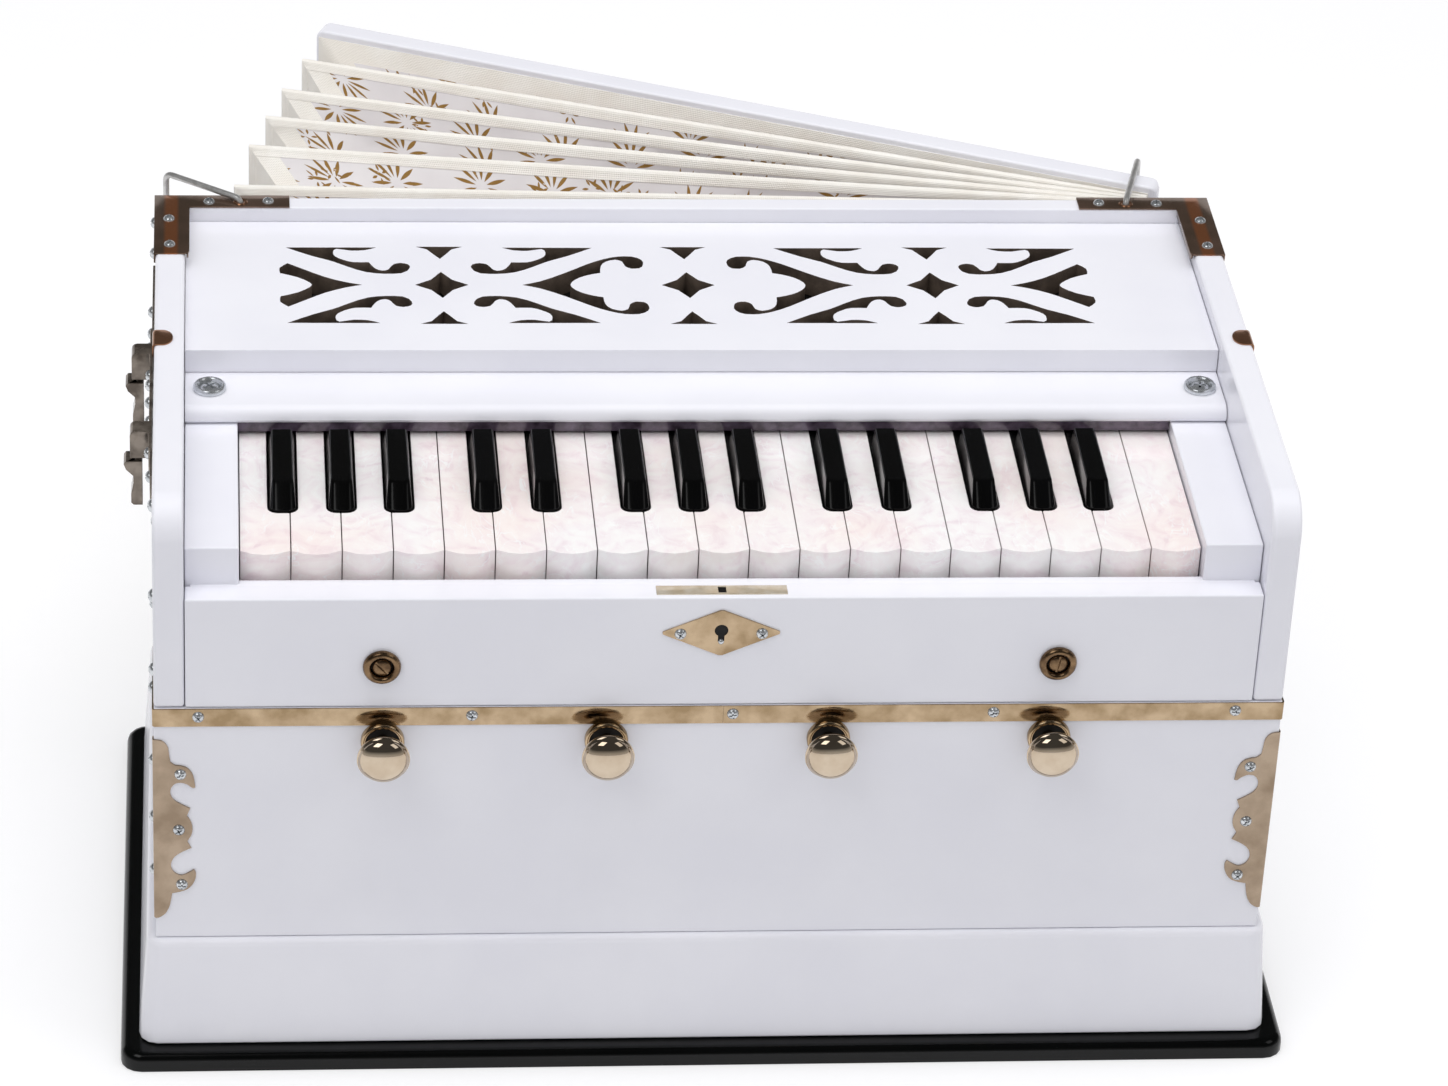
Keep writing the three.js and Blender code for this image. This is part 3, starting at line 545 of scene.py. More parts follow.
# Zinc-bright steel of the screws and the rail's cup washers
BRIGHT_STEEL = TarnishedMetal(
    "zinc_bright_steel", Slot.STEEL, "#DBDEE1", "#C2C6CA", 0.12, 0.8, drift_mm=3.5, grain=0.015
)
# Drawn steel wire of the bails, dulled by handling
DRAWN_WIRE = TarnishedMetal(
    "drawn_steel_wire", Slot.STEEL, "#D6D5D4", "#BDBCBA", 0.3, 0.75, drift_mm=4.0, grain=0.02, dull=0.44
)
# Brass cups with an antique lacquer
ANTIQUE_BRASS = TarnishedMetal(
    "lacquered_antique_brass", Slot.BRASS, "#8A7054", "#5C4836", 0.16, 1.0, drift_mm=5.0, grain=0.04
)
# Cream cotton tape on the edges and corners of the bellows
BINDING = BindingCloth("cream_binding_cloth", Slot.CLOTH, "#FBF8F2", "#F5F0E8", 0.82, drift_mm=18.0)
# Printed paper on the bellows card, pale and a little rough
PAPER = PrintedPaper(
    "flowered_bellows_paper", Slot.PAPER, "#ECE9EA", "#E2DEE0", 0.62, drift_mm=40.0, grain=0.12
)
# Goatskin of the inner bag
GOATSKIN = Finish(
    "goatskin", Slot.LEATHER, "#D9C9A8", "#C4B08A", 0.72, drift_mm=30.0, grain_mm=1.5, grain=0.4
)
# Teak where the lacquer stops: sawn edges with dark stain, and the reed board inside
SAWN_TEAK = Finish(
    "stained_sawn_teak", Slot.TEAK, "#4F443C", "#6F6156", 0.6, drift_mm=9.0, grain_mm=0.8, grain=0.5
)
# Matt black as painted shade: the sheet under the fretwork stands in for the dark inside of the case, and
# discs and patches stand in for the shade inside the keyhole, the strike, the collars and the cup washers
SHADE_BLACK = Finish(
    "black_painted_shade", Slot.BLACK_GLOSS, "#080706", "#100D0B", 0.75, drift_mm=20.0, grain=0.2
)
# Painted shade under the key rail: a plum strip where the keys run into the rail's shadow, its lighter drift
# standing in for the dim keys, glossy enough to mirror them
RAIL_SHADE = Finish(
    "plum_painted_shade_under_rail", Slot.BLACK_GLOSS, "#433744", "#75687A", 0.12, coat=0.5, drift_mm=7.0
)


@contextmanager
def editing(mesh: Mesh) -> Iterator[bmesh.types.BMesh]:
    """Opens a mesh for changes and writes them back at the end."""
    work = bmesh.new()
    work.from_mesh(mesh)
    yield work
    work.to_mesh(mesh)
    work.free()


def link(name: str, mesh: Mesh) -> Piece:
    """Puts a mesh into the scene as an object at the origin."""
    made = bpy.data.objects.new(name, mesh)
    bpy.context.scene.collection.objects.link(made)
    return made


def settle(made: Piece) -> Piece:
    """Turns an object with modifiers into a plain mesh object of the same name."""
    layer = bpy.context.evaluated_depsgraph_get()
    mesh = bpy.data.meshes.new_from_object(made.evaluated_get(layer), depsgraph=layer)
    name = made.name
    bpy.data.objects.remove(made)
    return link(name, mesh)


def shade(mesh: Mesh, degrees: float = 40.0) -> None:
    """Shades a mesh smooth, with an edge wherever it turns by more than an angle."""
    mesh.shade_smooth()
    mesh.set_sharp_from_angle(angle=math.radians(degrees))


def hand_over(made: Piece, body: str, *finishes: Finish, solid: str = "") -> Piece:
    """Gives a piece its finishes, its body and the solid that it stands for.

    Args:
        made: The piece.
        body: The body that it rides.
        finishes: Its finishes, in the order of its material indices.
        solid: The solid that it replaces, if it does.

    Returns:
        The piece.
    """
    slots = made.data.materials
    for n, finish in enumerate(finishes):
        if n < len(slots):
            slots[n] = finish.material()
        else:
            slots.append(finish.material())
    while len(slots) > len(finishes):
        slots.pop()
    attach(made, body)
    if solid:
        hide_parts(solid)
    LOG.info("%s rides %s with %d faces", made.name, body, len(made.data.polygons))
    return made


def trim(
    name: str, meshes: list[Mesh], finish: Finish, degrees: float = 40.0, body: str = "case",
    solid: str = "",
) -> None:
    """Joins meshes into one piece and hands it over.

    Args:
        name: The piece's name.
        meshes: The meshes.
        finish: Its finish.
        degrees: Angle above which an edge shows.
        body: The body that it rides.
        solid: The solid that it replaces, if it does.
    """
    whole = bpy.data.meshes.new(name)
    with editing(whole) as work:
        for mesh in meshes:
            work.from_mesh(mesh)
    shade(whole, degrees)
    hand_over(link(name, whole), body, finish, solid=solid)


def rectangle(left: float, low: float, right: float, high: float) -> list[Point2]:
    """Gives the corners of a rectangle."""
    return [(left, low), (right, low), (right, high), (left, high)]


def arc(start: float, sweep: float, steps: int) -> list[Point2]:
    """Gives points on a circle of radius one, from an angle in degrees over a sweep."""
    angles = [math.radians(start + sweep * i / steps) for i in range(steps + 1)]
    return [(math.cos(angle), math.sin(angle)) for angle in angles]


def flowing(points: tuple[Point2, ...], corners: tuple[int, ...], steps: int = 5) -> list[Point2]:
    """Draws a flowing line through points.

    Args:
        points: The places.
        corners: Numbers of the places where the line breaks.
        steps: Parts between two points.

    Returns:
        The places on the line.
    """
    drawn: list[Point2] = []
    for n in range(len(points) - 1):
        (ax, ay), (bx, by) = points[n], points[n + 1]
        before = points[n] if n in corners else points[n - 1]
        after = points[n + 1] if n + 1 in corners else points[n + 2]
        ux, uy = (bx - before[0]) / 2, (by - before[1]) / 2
        vx, vy = (after[0] - ax) / 2, (after[1] - ay) / 2
        for i in range(steps):
            t = i / steps
            h0, h1 = 2 * t**3 - 3 * t**2 + 1, t**3 - 2 * t**2 + t
            h2, h3 = -2 * t**3 + 3 * t**2, t**3 - t**2
            drawn.append((h0 * ax + h1 * ux + h2 * bx + h3 * vx, h0 * ay + h1 * uy + h2 * by + h3 * vy))
    return [*drawn, points[-1]]


def loft(work: bmesh.types.BMesh, rings: list[list[bmesh.types.BMVert]]) -> None:
    """Spans faces from ring to ring. A ring may be a single vertex, where the shape ends in a point."""
    for low, high in zip(rings, rings[1:]):
        count = max(len(low), len(high))
        for i in range(count):
            j = (i + 1) % count
            corners = [low[i % len(low)], low[j % len(low)], high[j % len(high)], high[i % len(high)]]
            work.faces.new(list(dict.fromkeys(corners)))


def turned(profile: Iterable[Point2], middle: Point3, outward: Point3, segments: int = 40) -> Mesh:
    """Turns a profile about an axis.

    Args:
        profile: Radius and height along the axis, from one end to the other.
        middle: Where the axis meets the surface, in case millimetres.
        outward: Direction of the axis.
        segments: Facets around.

    Returns:
        A closed mesh in the frame.
    """
    mesh = bpy.data.meshes.new("turned")
    angles = [math.tau * i / segments for i in range(segments)]
    with editing(mesh) as work:
        rings = []
        for radius, height in profile:
            around = angles if radius else [0.0]
            spots = [(radius * MM * math.cos(a), radius * MM * math.sin(a), height * MM) for a in around]
            rings.append([work.verts.new(spot) for spot in spots])
        loft(work, rings)
        bmesh.ops.recalc_face_normals(work, faces=work.faces)
    turn = Vector(UP).rotation_difference(Vector(outward)).to_matrix().to_4x4()
    turn.translation = row(*middle)
    mesh.transform(turn)
    return mesh


@dataclass(frozen=True)
class SheetMetal:
    """Cuts flat plates to an outline, folds them and lays them on the case."""

    thickness: float = 0.8
    edge: float = 0.15
    fold_steps: int = 4

    def cut(self, outlines: Iterable[list[Point2]]) -> Mesh:
        """Cuts a plate whose underside lies on z 0.

        Args:
            outlines: The outline, then its holes.

        Returns:
            The plate's mesh in metres.
        """
        curve = bpy.data.curves.new("plate outline", "CURVE")
        curve.dimensions = "2D"
        curve.fill_mode = "BOTH"
        curve.extrude = (self.thickness / 2 - self.edge) * MM
        curve.bevel_depth = self.edge * MM
        curve.bevel_resolution = 1
        curve.offset = -self.edge * MM
        for points in outlines:
            line = curve.splines.new("POLY")
            line.points.add(len(points) - 1)
            for point, (u, v) in zip(line.points, points):
                point.co = (u * MM, v * MM, 0.0, 1.0)
            line.use_cyclic_u = True
        plate = settle(bpy.data.objects.new("plate", curve))
        mesh = plate.data
        bpy.data.objects.remove(plate)
        mesh.transform(Matrix.Translation((0, 0, self.thickness / 2 * MM)))
        with editing(mesh) as work:
            bmesh.ops.remove_doubles(work, verts=work.verts, dist=1e-6)
            bmesh.ops.recalc_face_normals(work, faces=work.faces)
        return mesh

    def fold(self, mesh: Mesh, radius: float) -> None:
        """Folds what lies at x below 0 back through a right angle, about an inner radius."""
        length = radius * math.pi / 2 * MM
        with editing(mesh) as work:
            for i in range(self.fold_steps + 1):
                parts = [*work.verts, *work.edges, *work.faces]
                cut = (-length * i / self.fold_steps, 0, 0)
                bmesh.ops.bisect_plane(work, geom=parts, plane_co=cut, plane_no=RIGHT)
            for vertex in work.verts:
                along, up = -vertex.co.x, vertex.co.z
                if along <= 1e-9:
                    continue
                angle = min(along / (radius * MM), math.pi / 2)
                out = radius * MM + up
                vertex.co.x = -out * math.sin(angle)
                vertex.co.z = out * math.cos(angle) - radius * MM - max(0.0, along - length)

    def plate(
        self, *outlines: list[Point2], at: Point3, across: Point3 = RIGHT, up: Point3 = UP,
        mirror: bool = False, fold: float = 0.0,
    ) -> Mesh:
        """Cuts a plate and lays it on the case.

        Args:
            outlines: The outline, then its holes.
            at: Where their origin comes, in case millimetres.
            across: Direction of their x.
            up: Direction of their y.
            mirror: Whether the plate is turned over to the other side of the case.
            fold: Inner radius of the fold at their x 0, if it has one.

        Returns:
            The plate in the frame.
        """
        mesh = self.cut(outlines)
        if fold:
            self.fold(mesh, fold)
        side, rise = Vector(across), Vector(up)
        turn = Matrix((side, rise, side.cross(rise))).transposed().to_4x4()
        turn.translation = row(*at)
        mesh.transform(turn)
        if mirror:
            mesh.transform(Matrix.Diagonal((-1, 1, 1, 1)))
            mesh.flip_normals()
        return mesh


@dataclass(frozen=True)
class Rounding:
    """A larger radius on some edges of a solid."""

    radius: float
    chosen: Callable[[Vector, Vector], bool]
    steps: int = 6

    def apply(self, work: bmesh.types.BMesh) -> None:
        """Rounds the chosen edges of a solid, whose vertices are in metres."""
        front = Vector((0, CASE_FRONT, 0))
        edges = [e for e in work.edges if self.chosen(*(v.co / MM - front for v in e.verts))]
        bmesh.ops.bevel(
            work, geom=edges, offset=self.radius * MM, segments=self.steps, profile=0.5, affect="EDGES",
            clamp_overlap=True,
        )


@dataclass
class Joinery:
    """Dresses solids of the frame: the same shape, with its edges eased as sandpaper leaves them."""

    frame: dict
    ease_from: float = 32.0
    flat_within: float = 0.6

    def body(self, node: str) -> str:
        """Gives the body that a solid belongs to."""
        return self.frame["nodes"][node]["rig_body"]

    def copy_of(self, node: str, rounding: Rounding | None) -> Mesh:
        """Copies a solid's mesh, joins its loose triangles into faces and rounds chosen edges."""
        mesh = self.frame["nodes"][node].data.copy()
        with editing(mesh) as work:
            bmesh.ops.remove_doubles(work, verts=work.verts, dist=2e-6)
            flat = math.radians(self.flat_within)
            bmesh.ops.dissolve_limit(work, angle_limit=flat, verts=work.verts, edges=work.edges)
            if rounding:
                rounding.apply(work)
        return mesh

    def dress(
        self, node: str, finish: Finish, ease: float, steps: int = 3, rounding: Rounding | None = None,
        inside: Finish | None = None, is_inside: Callable[[Any], bool] | None = None,
    ) -> Piece:
        """Stands a finished copy in for a solid.

        Args:
            node: The solid's name.
            finish: Its finish.
            ease: How far its edges are rounded, in millimetres.
            steps: Facets in each rounded edge.
            rounding: Edges with a larger radius.
            inside: A second finish for some of its faces.
            is_inside: Tells those faces.

        Returns:
            The dressed piece.
        """
        mesh = self.copy_of(node, rounding)
        finishes = [finish]
        if inside and is_inside:
            finishes.append(inside)
            for face in mesh.polygons:
                face.material_index = int(is_inside(face))
        mesh.shade_smooth()
        made = link(f"{node}_finished", mesh)
        bevel = made.modifiers.new("eased edges", "BEVEL")
        bevel.width = ease * MM
        bevel.segments = steps
        bevel.limit_method = "ANGLE"
        bevel.angle_limit = math.radians(self.ease_from)
        made.modifiers.new("flat faces", "WEIGHTED_NORMAL").keep_sharp = False
        return hand_over(made, self.body(node), *finishes, solid=node)


class Recess(Enum):
    """How a screw is driven."""

    SLOT = 0
    CROSS = 1


@dataclass(frozen=True)
class ScrewKind:
    """One size of screw."""

    name: str
    radius: float
    dome: float
    groove: float
    depth: float
    recess: Recess
    finish: Finish


SMALL_DOME = ScrewKind("small_dome_screws", 2.6, 2.0, 0.7, 0.8, Recess.CROSS, BRIGHT_STEEL)
SIDE_DOME = ScrewKind("side_dome_screws", 2.9, 2.0, 0.75, 0.8, Recess.CROSS, BRIGHT_STEEL)
CUP_CORE = ScrewKind("rail_cup_screws", 4.3, 1.2, 1.1, 0.9, Recess.CROSS, BRIGHT_STEEL)
BRASS_CORE = ScrewKind("front_cup_screws", 4.0, 1.3, 1.0, 0.9, Recess.SLOT, ANTIQUE_BRASS)


@dataclass
class Screws:
    """Sets screws of each kind wherever the other classes ask for one."""

    seed: int = 7
    segments: int = 24
    rings: int = 14
    cross_reach: float = 1.25
    slot_reach: float = 2.4
    wanted: dict[ScrewKind, list[tuple[Vector, Vector]]] = field(default_factory=dict)

    def drive(self, kind: ScrewKind, place: Point3, facing: Point3) -> None:
        """Asks for one screw.

        Args:
            kind: Its size.
            place: Where it sits, in case millimetres.
            facing: Where its head looks.
        """
        self.wanted.setdefault(kind, []).append((row(*place), Vector(facing)))

    def graph(self) -> Graph:
        """Builds the tree that sets a driven head on every point.

        Returns:
            The node tree, with named sizes.
        """
        kinds = dict.fromkeys(("Head Radius", "Dome Height", "Groove Width", "Groove Depth"), "Float")
        more = {"Cross Recess": "Bool", "Seed": "Int", "Finish": "Material"}
        graph = Graph.geometry("driven screws", {"Places": "Geometry", **kinds, **more})
        add, calc, given = graph.add, graph.calc, graph.node("NodeGroupInput").outputs
        radius, dome, crossed = given["Head Radius"], given["Dome Height"], given["Cross Recess"]
        squeeze = add("ShaderNodeCombineXYZ", {0: 1.0, 1: 1.0, 2: calc("DIVIDE", dome, radius)})
        facets = {"Segments": self.segments, "Rings": self.rings}
        ball = add("GeometryNodeMeshUVSphere", {**facets, "Radius": radius})
        head = add("GeometryNodeTransform", {0: ball, "Scale": squeeze})
        short, long = (calc("MULTIPLY", radius, reach) for reach in (self.cross_reach, self.slot_reach))
        span = add("GeometryNodeSwitch", {"input_type": "FLOAT", 0: crossed, 1: long, 2: short})
        deep = calc("MULTIPLY", given["Groove Depth"], 2.0)
        size = add("ShaderNodeCombineXYZ", {0: span, 1: given["Groove Width"], 2: deep})
        bar, lift = add("GeometryNodeMeshCube", {"Size": size}), add("ShaderNodeCombineXYZ", {2: dome})
        groove = add("GeometryNodeTransform", {0: bar, "Translation": lift})
        other = add("GeometryNodeTransform", {0: groove, "Rotation": (0.0, 0.0, math.pi / 2)})
        once = add("GeometryNodeMeshBoolean", {"operation": "DIFFERENCE", 0: head, 1: groove})
        twice = add("GeometryNodeMeshBoolean", {"operation": "DIFFERENCE", 0: once, 1: other})
        driven = add("GeometryNodeSwitch", {"input_type": "GEOMETRY", 0: crossed, 1: once, 2: twice})
        facing = add("GeometryNodeInputNamedAttribute", {"data_type": "FLOAT_VECTOR", "Name": "facing"})
        upright = add("FunctionNodeAlignRotationToVector", {"axis": "Z", "Vector": facing})
        draw = {"data_type": "FLOAT", 2: 0.0, 3: math.pi, "Seed": given["Seed"]}
        chance = graph.node("FunctionNodeRandomValue", draw).outputs[1]
        spin = add("FunctionNodeAxisAngleToRotation", {"Axis": (0.0, 0.0, 1.0), "Angle": chance})
        turn = add("FunctionNodeRotateRotation", {"rotation_space": "LOCAL", 0: upright, 1: spin})
        heads = {"Points": given["Places"], "Instance": driven, "Rotation": turn}
        graph.close(add("GeometryNodeInstanceOnPoints", heads), given["Finish"])
        return graph

    def build(self) -> None:
        """Makes one piece for each kind of screw."""
        graph = self.graph()
        for kind, places in self.wanted.items():
            mesh = bpy.data.meshes.new("screw places")
            mesh.from_pydata([place for place, _ in places], [], [])
            facing = mesh.attributes.new("facing", "FLOAT_VECTOR", "POINT")
            facing.data.foreach_set("vector", [c for _, way in places for c in way])
            sizes = {
                "Head Radius": kind.radius * MM, "Dome Height": kind.dome * MM,
                "Groove Width": kind.groove * MM, "Groove Depth": kind.depth * MM,
                "Cross Recess": kind.recess is Recess.CROSS, "Seed": self.seed,
                "Finish": kind.finish.material(),
            }
            hand_over(graph.run(link(kind.name, mesh), sizes, 35), "case", kind.finish)


@dataclass
class Case:
    """The lacquered case, its fretwork and the black base."""

    joinery: Joinery
    fret_front: float = 142.5
    fret_back: float = 257.5
    fret_half: float = 222.9
    fret_rim: float = 5.0
    rail_front: float = 111.0
    rail_foot: float = 246.2
    rail_rounding: float = 2.6
    board_rounding: float = 4.2
    board_hinged: float = 200.0
    board_upper: float = 260.0
    screen: SheetMetal = SheetMetal(0.9, 0.1)
    screen_box: tuple[float, ...] = (-199.5, 154.5, 197.5, 256.5)
    screen_level: float = 252.4
    strip: SheetMetal = SheetMetal(2.0, 0.3)
    strip_box: tuple[float, ...] = (-200.5, 241.1, 198.7, 246.2)
    strip_back: float = 115.5
    lining: SheetMetal = SheetMetal(5.1, 0.4)
    lining_box: tuple[float, ...] = (-220.6, 213.0, 220.6, 228.46)
    lining_back: float = 15.2

    def build(self) -> None:
        """Dresses the boards of the case and adds its thin linings, two of them painted shade: a black sheet
        under the fretwork and a plum strip under the key rail.
        """
        roundings = {
            "key_rail": Rounding(self.rail_rounding, self.is_rail_nose),
            "bellows_board": Rounding(self.board_rounding, self.is_board_corner),
        }
        for node, finish, ease, steps in (
            ("base_board", BLACK_ENAMEL, 0.5, 3),
            ("plinth", LACQUER, 1.2, 3),
            ("lower_case", LACQUER, 1.0, 3),
            ("wind_trunk", LACQUER, 0.7, 3),
            ("left_cheek", LACQUER, 1.6, 4),
            ("right_cheek", LACQUER, 1.6, 4),
            ("front_panel", LACQUER, 0.9, 3),
            ("back_panel", LACQUER, 0.9, 3),
            ("key_frame", LACQUER, 0.7, 3),
            ("key_rail", LACQUER, 0.6, 3),
            ("reed_board", SAWN_TEAK, 0.4, 1),
            ("reservoir", GOATSKIN, 0.8, 2),
            ("bellows_board", LACQUER, 1.2, 3),
        ):
            self.joinery.dress(node, finish, ease, steps, roundings.get(node))
        self.joinery.dress("grille_board", LACQUER, 0.35, 2, inside=SAWN_TEAK, is_inside=self.is_sawn)
        # The black sheet under the fretwork and the plum strip under the key rail are painted shade.
        for name, board, box, finish, at, up in (
            ("fretwork_shade_sheet", self.screen, self.screen_box, SHADE_BLACK, (0, 0, self.screen_level), BACK),
            ("rail_shade_strip", self.strip, self.strip_box, RAIL_SHADE, (0, self.strip_back, 0), UP),
            ("front_panel_lining", self.lining, self.lining_box, LACQUER, (0, self.lining_back, 0), UP),
        ):
            trim(name, [board.plate(rectangle(*box), at=at, up=up)], finish)

    def is_board_corner(self, start: Vector, end: Vector) -> bool:
        """Tells the upright edges at the hinged end of the bellows board, and its two upper corners."""
        way = (end - start).normalized()
        hinged = min(start.x, end.x) > self.board_hinged and abs(way.z) > 0.9
        upper = min(start.z, end.z) > self.board_upper and abs(way.y) > 0.8
        return hinged or upper

    def is_rail_nose(self, start: Vector, end: Vector) -> bool:
        """Tells the lower front edge of the key rail."""
        return max(start.y, end.y) < self.rail_front + 0.5 and max(start.z, end.z) < self.rail_foot + 0.5

    def is_sawn(self, face: bpy.types.MeshPolygon) -> bool:
        """Tells the sawn walls of the fretwork from the outer faces of its board."""
        x, y = face.center.x / MM, face.center.y / MM - CASE_FRONT
        rim = self.fret_rim
        within = abs(x) < self.fret_half - rim and self.fret_front + rim < y < self.fret_back - rim
        return within and abs(face.normal.z) < 0.5


@dataclass
class Keyboard:
    """The natural and the sharp keys."""

    joinery: Joinery
    naturals: int = 19
    sharps: int = 13
    proud: float = 0.2
    slope: float = 10.2
    foot: float = 8.0
    cap_back: float = 103.6
    tail_drop: float = 9.4
    lean: float = 1.0
    corner: float = 3.4
    top_corner: float = 2.1
    top_round: float = 0.9
    bow: float = 0.4
    last_draw: float = 0.3
    foot_levels: tuple[Point3, ...] = ((0.0, 0.0, -0.15), (0.1, 0.03, 0.02), (0.3, 0.06, 0.18))

    def build(self) -> None:
        """Dresses every natural and shapes every sharp, each on its own body."""
        for n in range(1, self.naturals + 1):
            self.widen(self.joinery.dress(f"key_white_{n:02d}", PEARL, 0.35, 2).data)
        for n in range(1, self.sharps + 1):
            self.sharp(f"key_black_{n:02d}")

    def widen(self, mesh: Mesh) -> None:
        """Lays the celluloid a little proud of a natural's sides."""
        across = [v.co.x for v in mesh.vertices]
        middle = (max(across) + min(across)) / 2
        share = 1 + self.proud * MM / (max(across) - min(across))
        for vertex in mesh.vertices:
            vertex.co.x = middle + (vertex.co.x - middle) * share

    def levels(self, top: float) -> list[Point3]:
        """Gives how a sharp's outline draws in above its foot.

        Args:
            top: Height of its cap.

        Returns:
            For each level how far the front and the sides are drawn in, and the height.
        """
        foot = top - self.foot
        found = [(front, side, foot + rise) for front, side, rise in self.foot_levels]
        for n, (u, v) in enumerate(arc(0, 90, 4)):
            z = top - self.top_round * (1 - v)
            share = (z - foot) / self.foot
            last = self.last_draw if n == 4 else 0.0
            found.append((self.slope * share + last, self.lean * share + self.top_round * (1 - u), z))
        return found

    def outline(self, half: float, front: float, back: float, corner: float) -> list[Point2]:
        """Draws a sharp's outline at one level, seen from above.

        Args:
            half: Half its width.
            front: Where its front comes.
            back: Where its back comes.
            corner: Radius of its two front corners.

        Returns:
            The same number of points for every level.
        """
        side = min(back, self.cap_back)
        turn = [(-half + corner * (1 + u), front + corner * (1 + v)) for u, v in arc(180, 90, 7)]
        left = [*turn, (-(half - corner) / 2, front), (0.0, front)]
        bowed = [(x, y - self.bow * (1 - (x / half) ** 2)) for x, y in left]
        other = [(-x, y) for x, y in reversed(bowed[:-1])]
        return [(-half, back), (-half, side), *bowed, *other, (half, side), (half, back)]

    def sharp(self, node: str) -> None:
        """Shapes a sharp with rounded corners, a sloping front and a low tail under the key rail."""
        low, high = (Vector(corner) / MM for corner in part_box(node))
        middle, half = (low.x + high.x) / 2, (high.x - low.x) / 2
        front, tail = low.y - CASE_FRONT + self.bow, high.y - CASE_FRONT
        shelf = high.z - self.tail_drop
        steps = [(0.0, 0.0, low.z, tail), (0.0, 0.0, shelf, tail), (0.0, 0.0, shelf, self.cap_back)]
        steps += [(*level, self.cap_back) for level in self.levels(high.z)]
        mesh = bpy.data.meshes.new(node)
        with editing(mesh) as work:
            rings = []
            for drawn_in, inset, z, back in steps:
                share = max(0.0, (z - high.z + self.foot) / self.foot)
                corner = self.corner + (self.top_corner - self.corner) * share
                flat = self.outline(half - inset, front + drawn_in, back, corner)
                rings.append([work.verts.new(row(middle + x, y, z)) for x, y in flat])
            loft(work, rings)
            work.faces.new(list(reversed(rings[0])))
            work.faces.new(rings[-1])
            bmesh.ops.remove_doubles(work, verts=work.verts, dist=1e-6)
            bmesh.ops.recalc_face_normals(work, faces=work.faces)
        mesh.shade_smooth()
        made = link(f"{node}_finished", mesh)
        made.modifiers.new("flat faces", "WEIGHTED_NORMAL").keep_sharp = False
        hand_over(made, self.joinery.body(node), BLACK_CELLULOID, solid=node)


@dataclass
class StopKnobs:
    """The four stop knobs and the collars that their rods run in."""

    places: tuple[float, ...] = (-141.475, -48.425, 44.625, 137.675)
    level: float = 159.4
    button: float = 10.8
    middle: float = 14.3
    front_dome: float = 6.3
    back_dome: float = 3.2
    rod: float = 3.0
    neck: float = 3.6
    inside: float = 48.0
    collar: float = 9.1
    collar_bore: float = 6.4
    collar_height: float = 3.3

    def profile(self) -> list[Point2]:
        """Gives the knob's profile, outward from its tail.

        Returns:
            Radius and height pairs.
        """
        rim, middle = self.button + 0.2, self.middle
        points = [(0.0, -self.inside), (self.rod, -self.inside), (self.rod, middle - self.back_dome - 3.0)]
        points.append((self.neck, middle - self.back_dome - 0.6))
        for i in range(2, 9):
            angle = math.radians(11 * i)
            points.append((self.button * math.sin(angle), middle - 0.5 - self.back_dome * math.cos(angle)))
        points += [(rim, middle - 0.25), (rim, middle + 0.35), (self.button - 0.25, middle + 0.6)]
        for i in range(7, -1, -1):
            angle = math.radians(11 * i)
            reach = (self.button - 0.3) * math.sin(angle)
            points.append((reach, middle + 0.5 + (self.front_dome - 0.5) * math.cos(angle)))
        return points

    def build(self) -> None:
        """Turns the knobs and their collars, with a black disc of painted shade in each collar's bore."""
        outer, bore, height = self.collar, self.collar_bore, self.collar_height
        ring = [
            (bore, 0.2), (outer, 0.2), (outer, height - 1.0), (outer - 0.4, height - 0.2),
            (outer - 1.1, height), (outer - 1.8, height - 0.3), (bore, 0.9), (bore, 0.2),
        ]
        # A black disc in each bore is painted shade for the hole round the rod.
        throat_shade = [(0, 0.2), (bore, 0.2), (bore, 0.5), (0, 0.5)]
        collars, throat_shades = [], []
        for n, x in enumerate(self.places, 1):
            place, name = (x, 0, self.level), f"stop_knob_{n}"
            knob = turned(self.profile(), place, FRONT, 56)
            trim(f"{name}_buffed", [knob], BUFFED_NICKEL, 50, name, name)
            collars.append(turned(ring, place, FRONT, 48))
            throat_shades.append(turned(throat_shade, place, FRONT, 32))
        trim("stop_collars", collars, WARM_NICKEL, 50)
        trim("stop_throat_shades", throat_shades, SHADE_BLACK, 50)


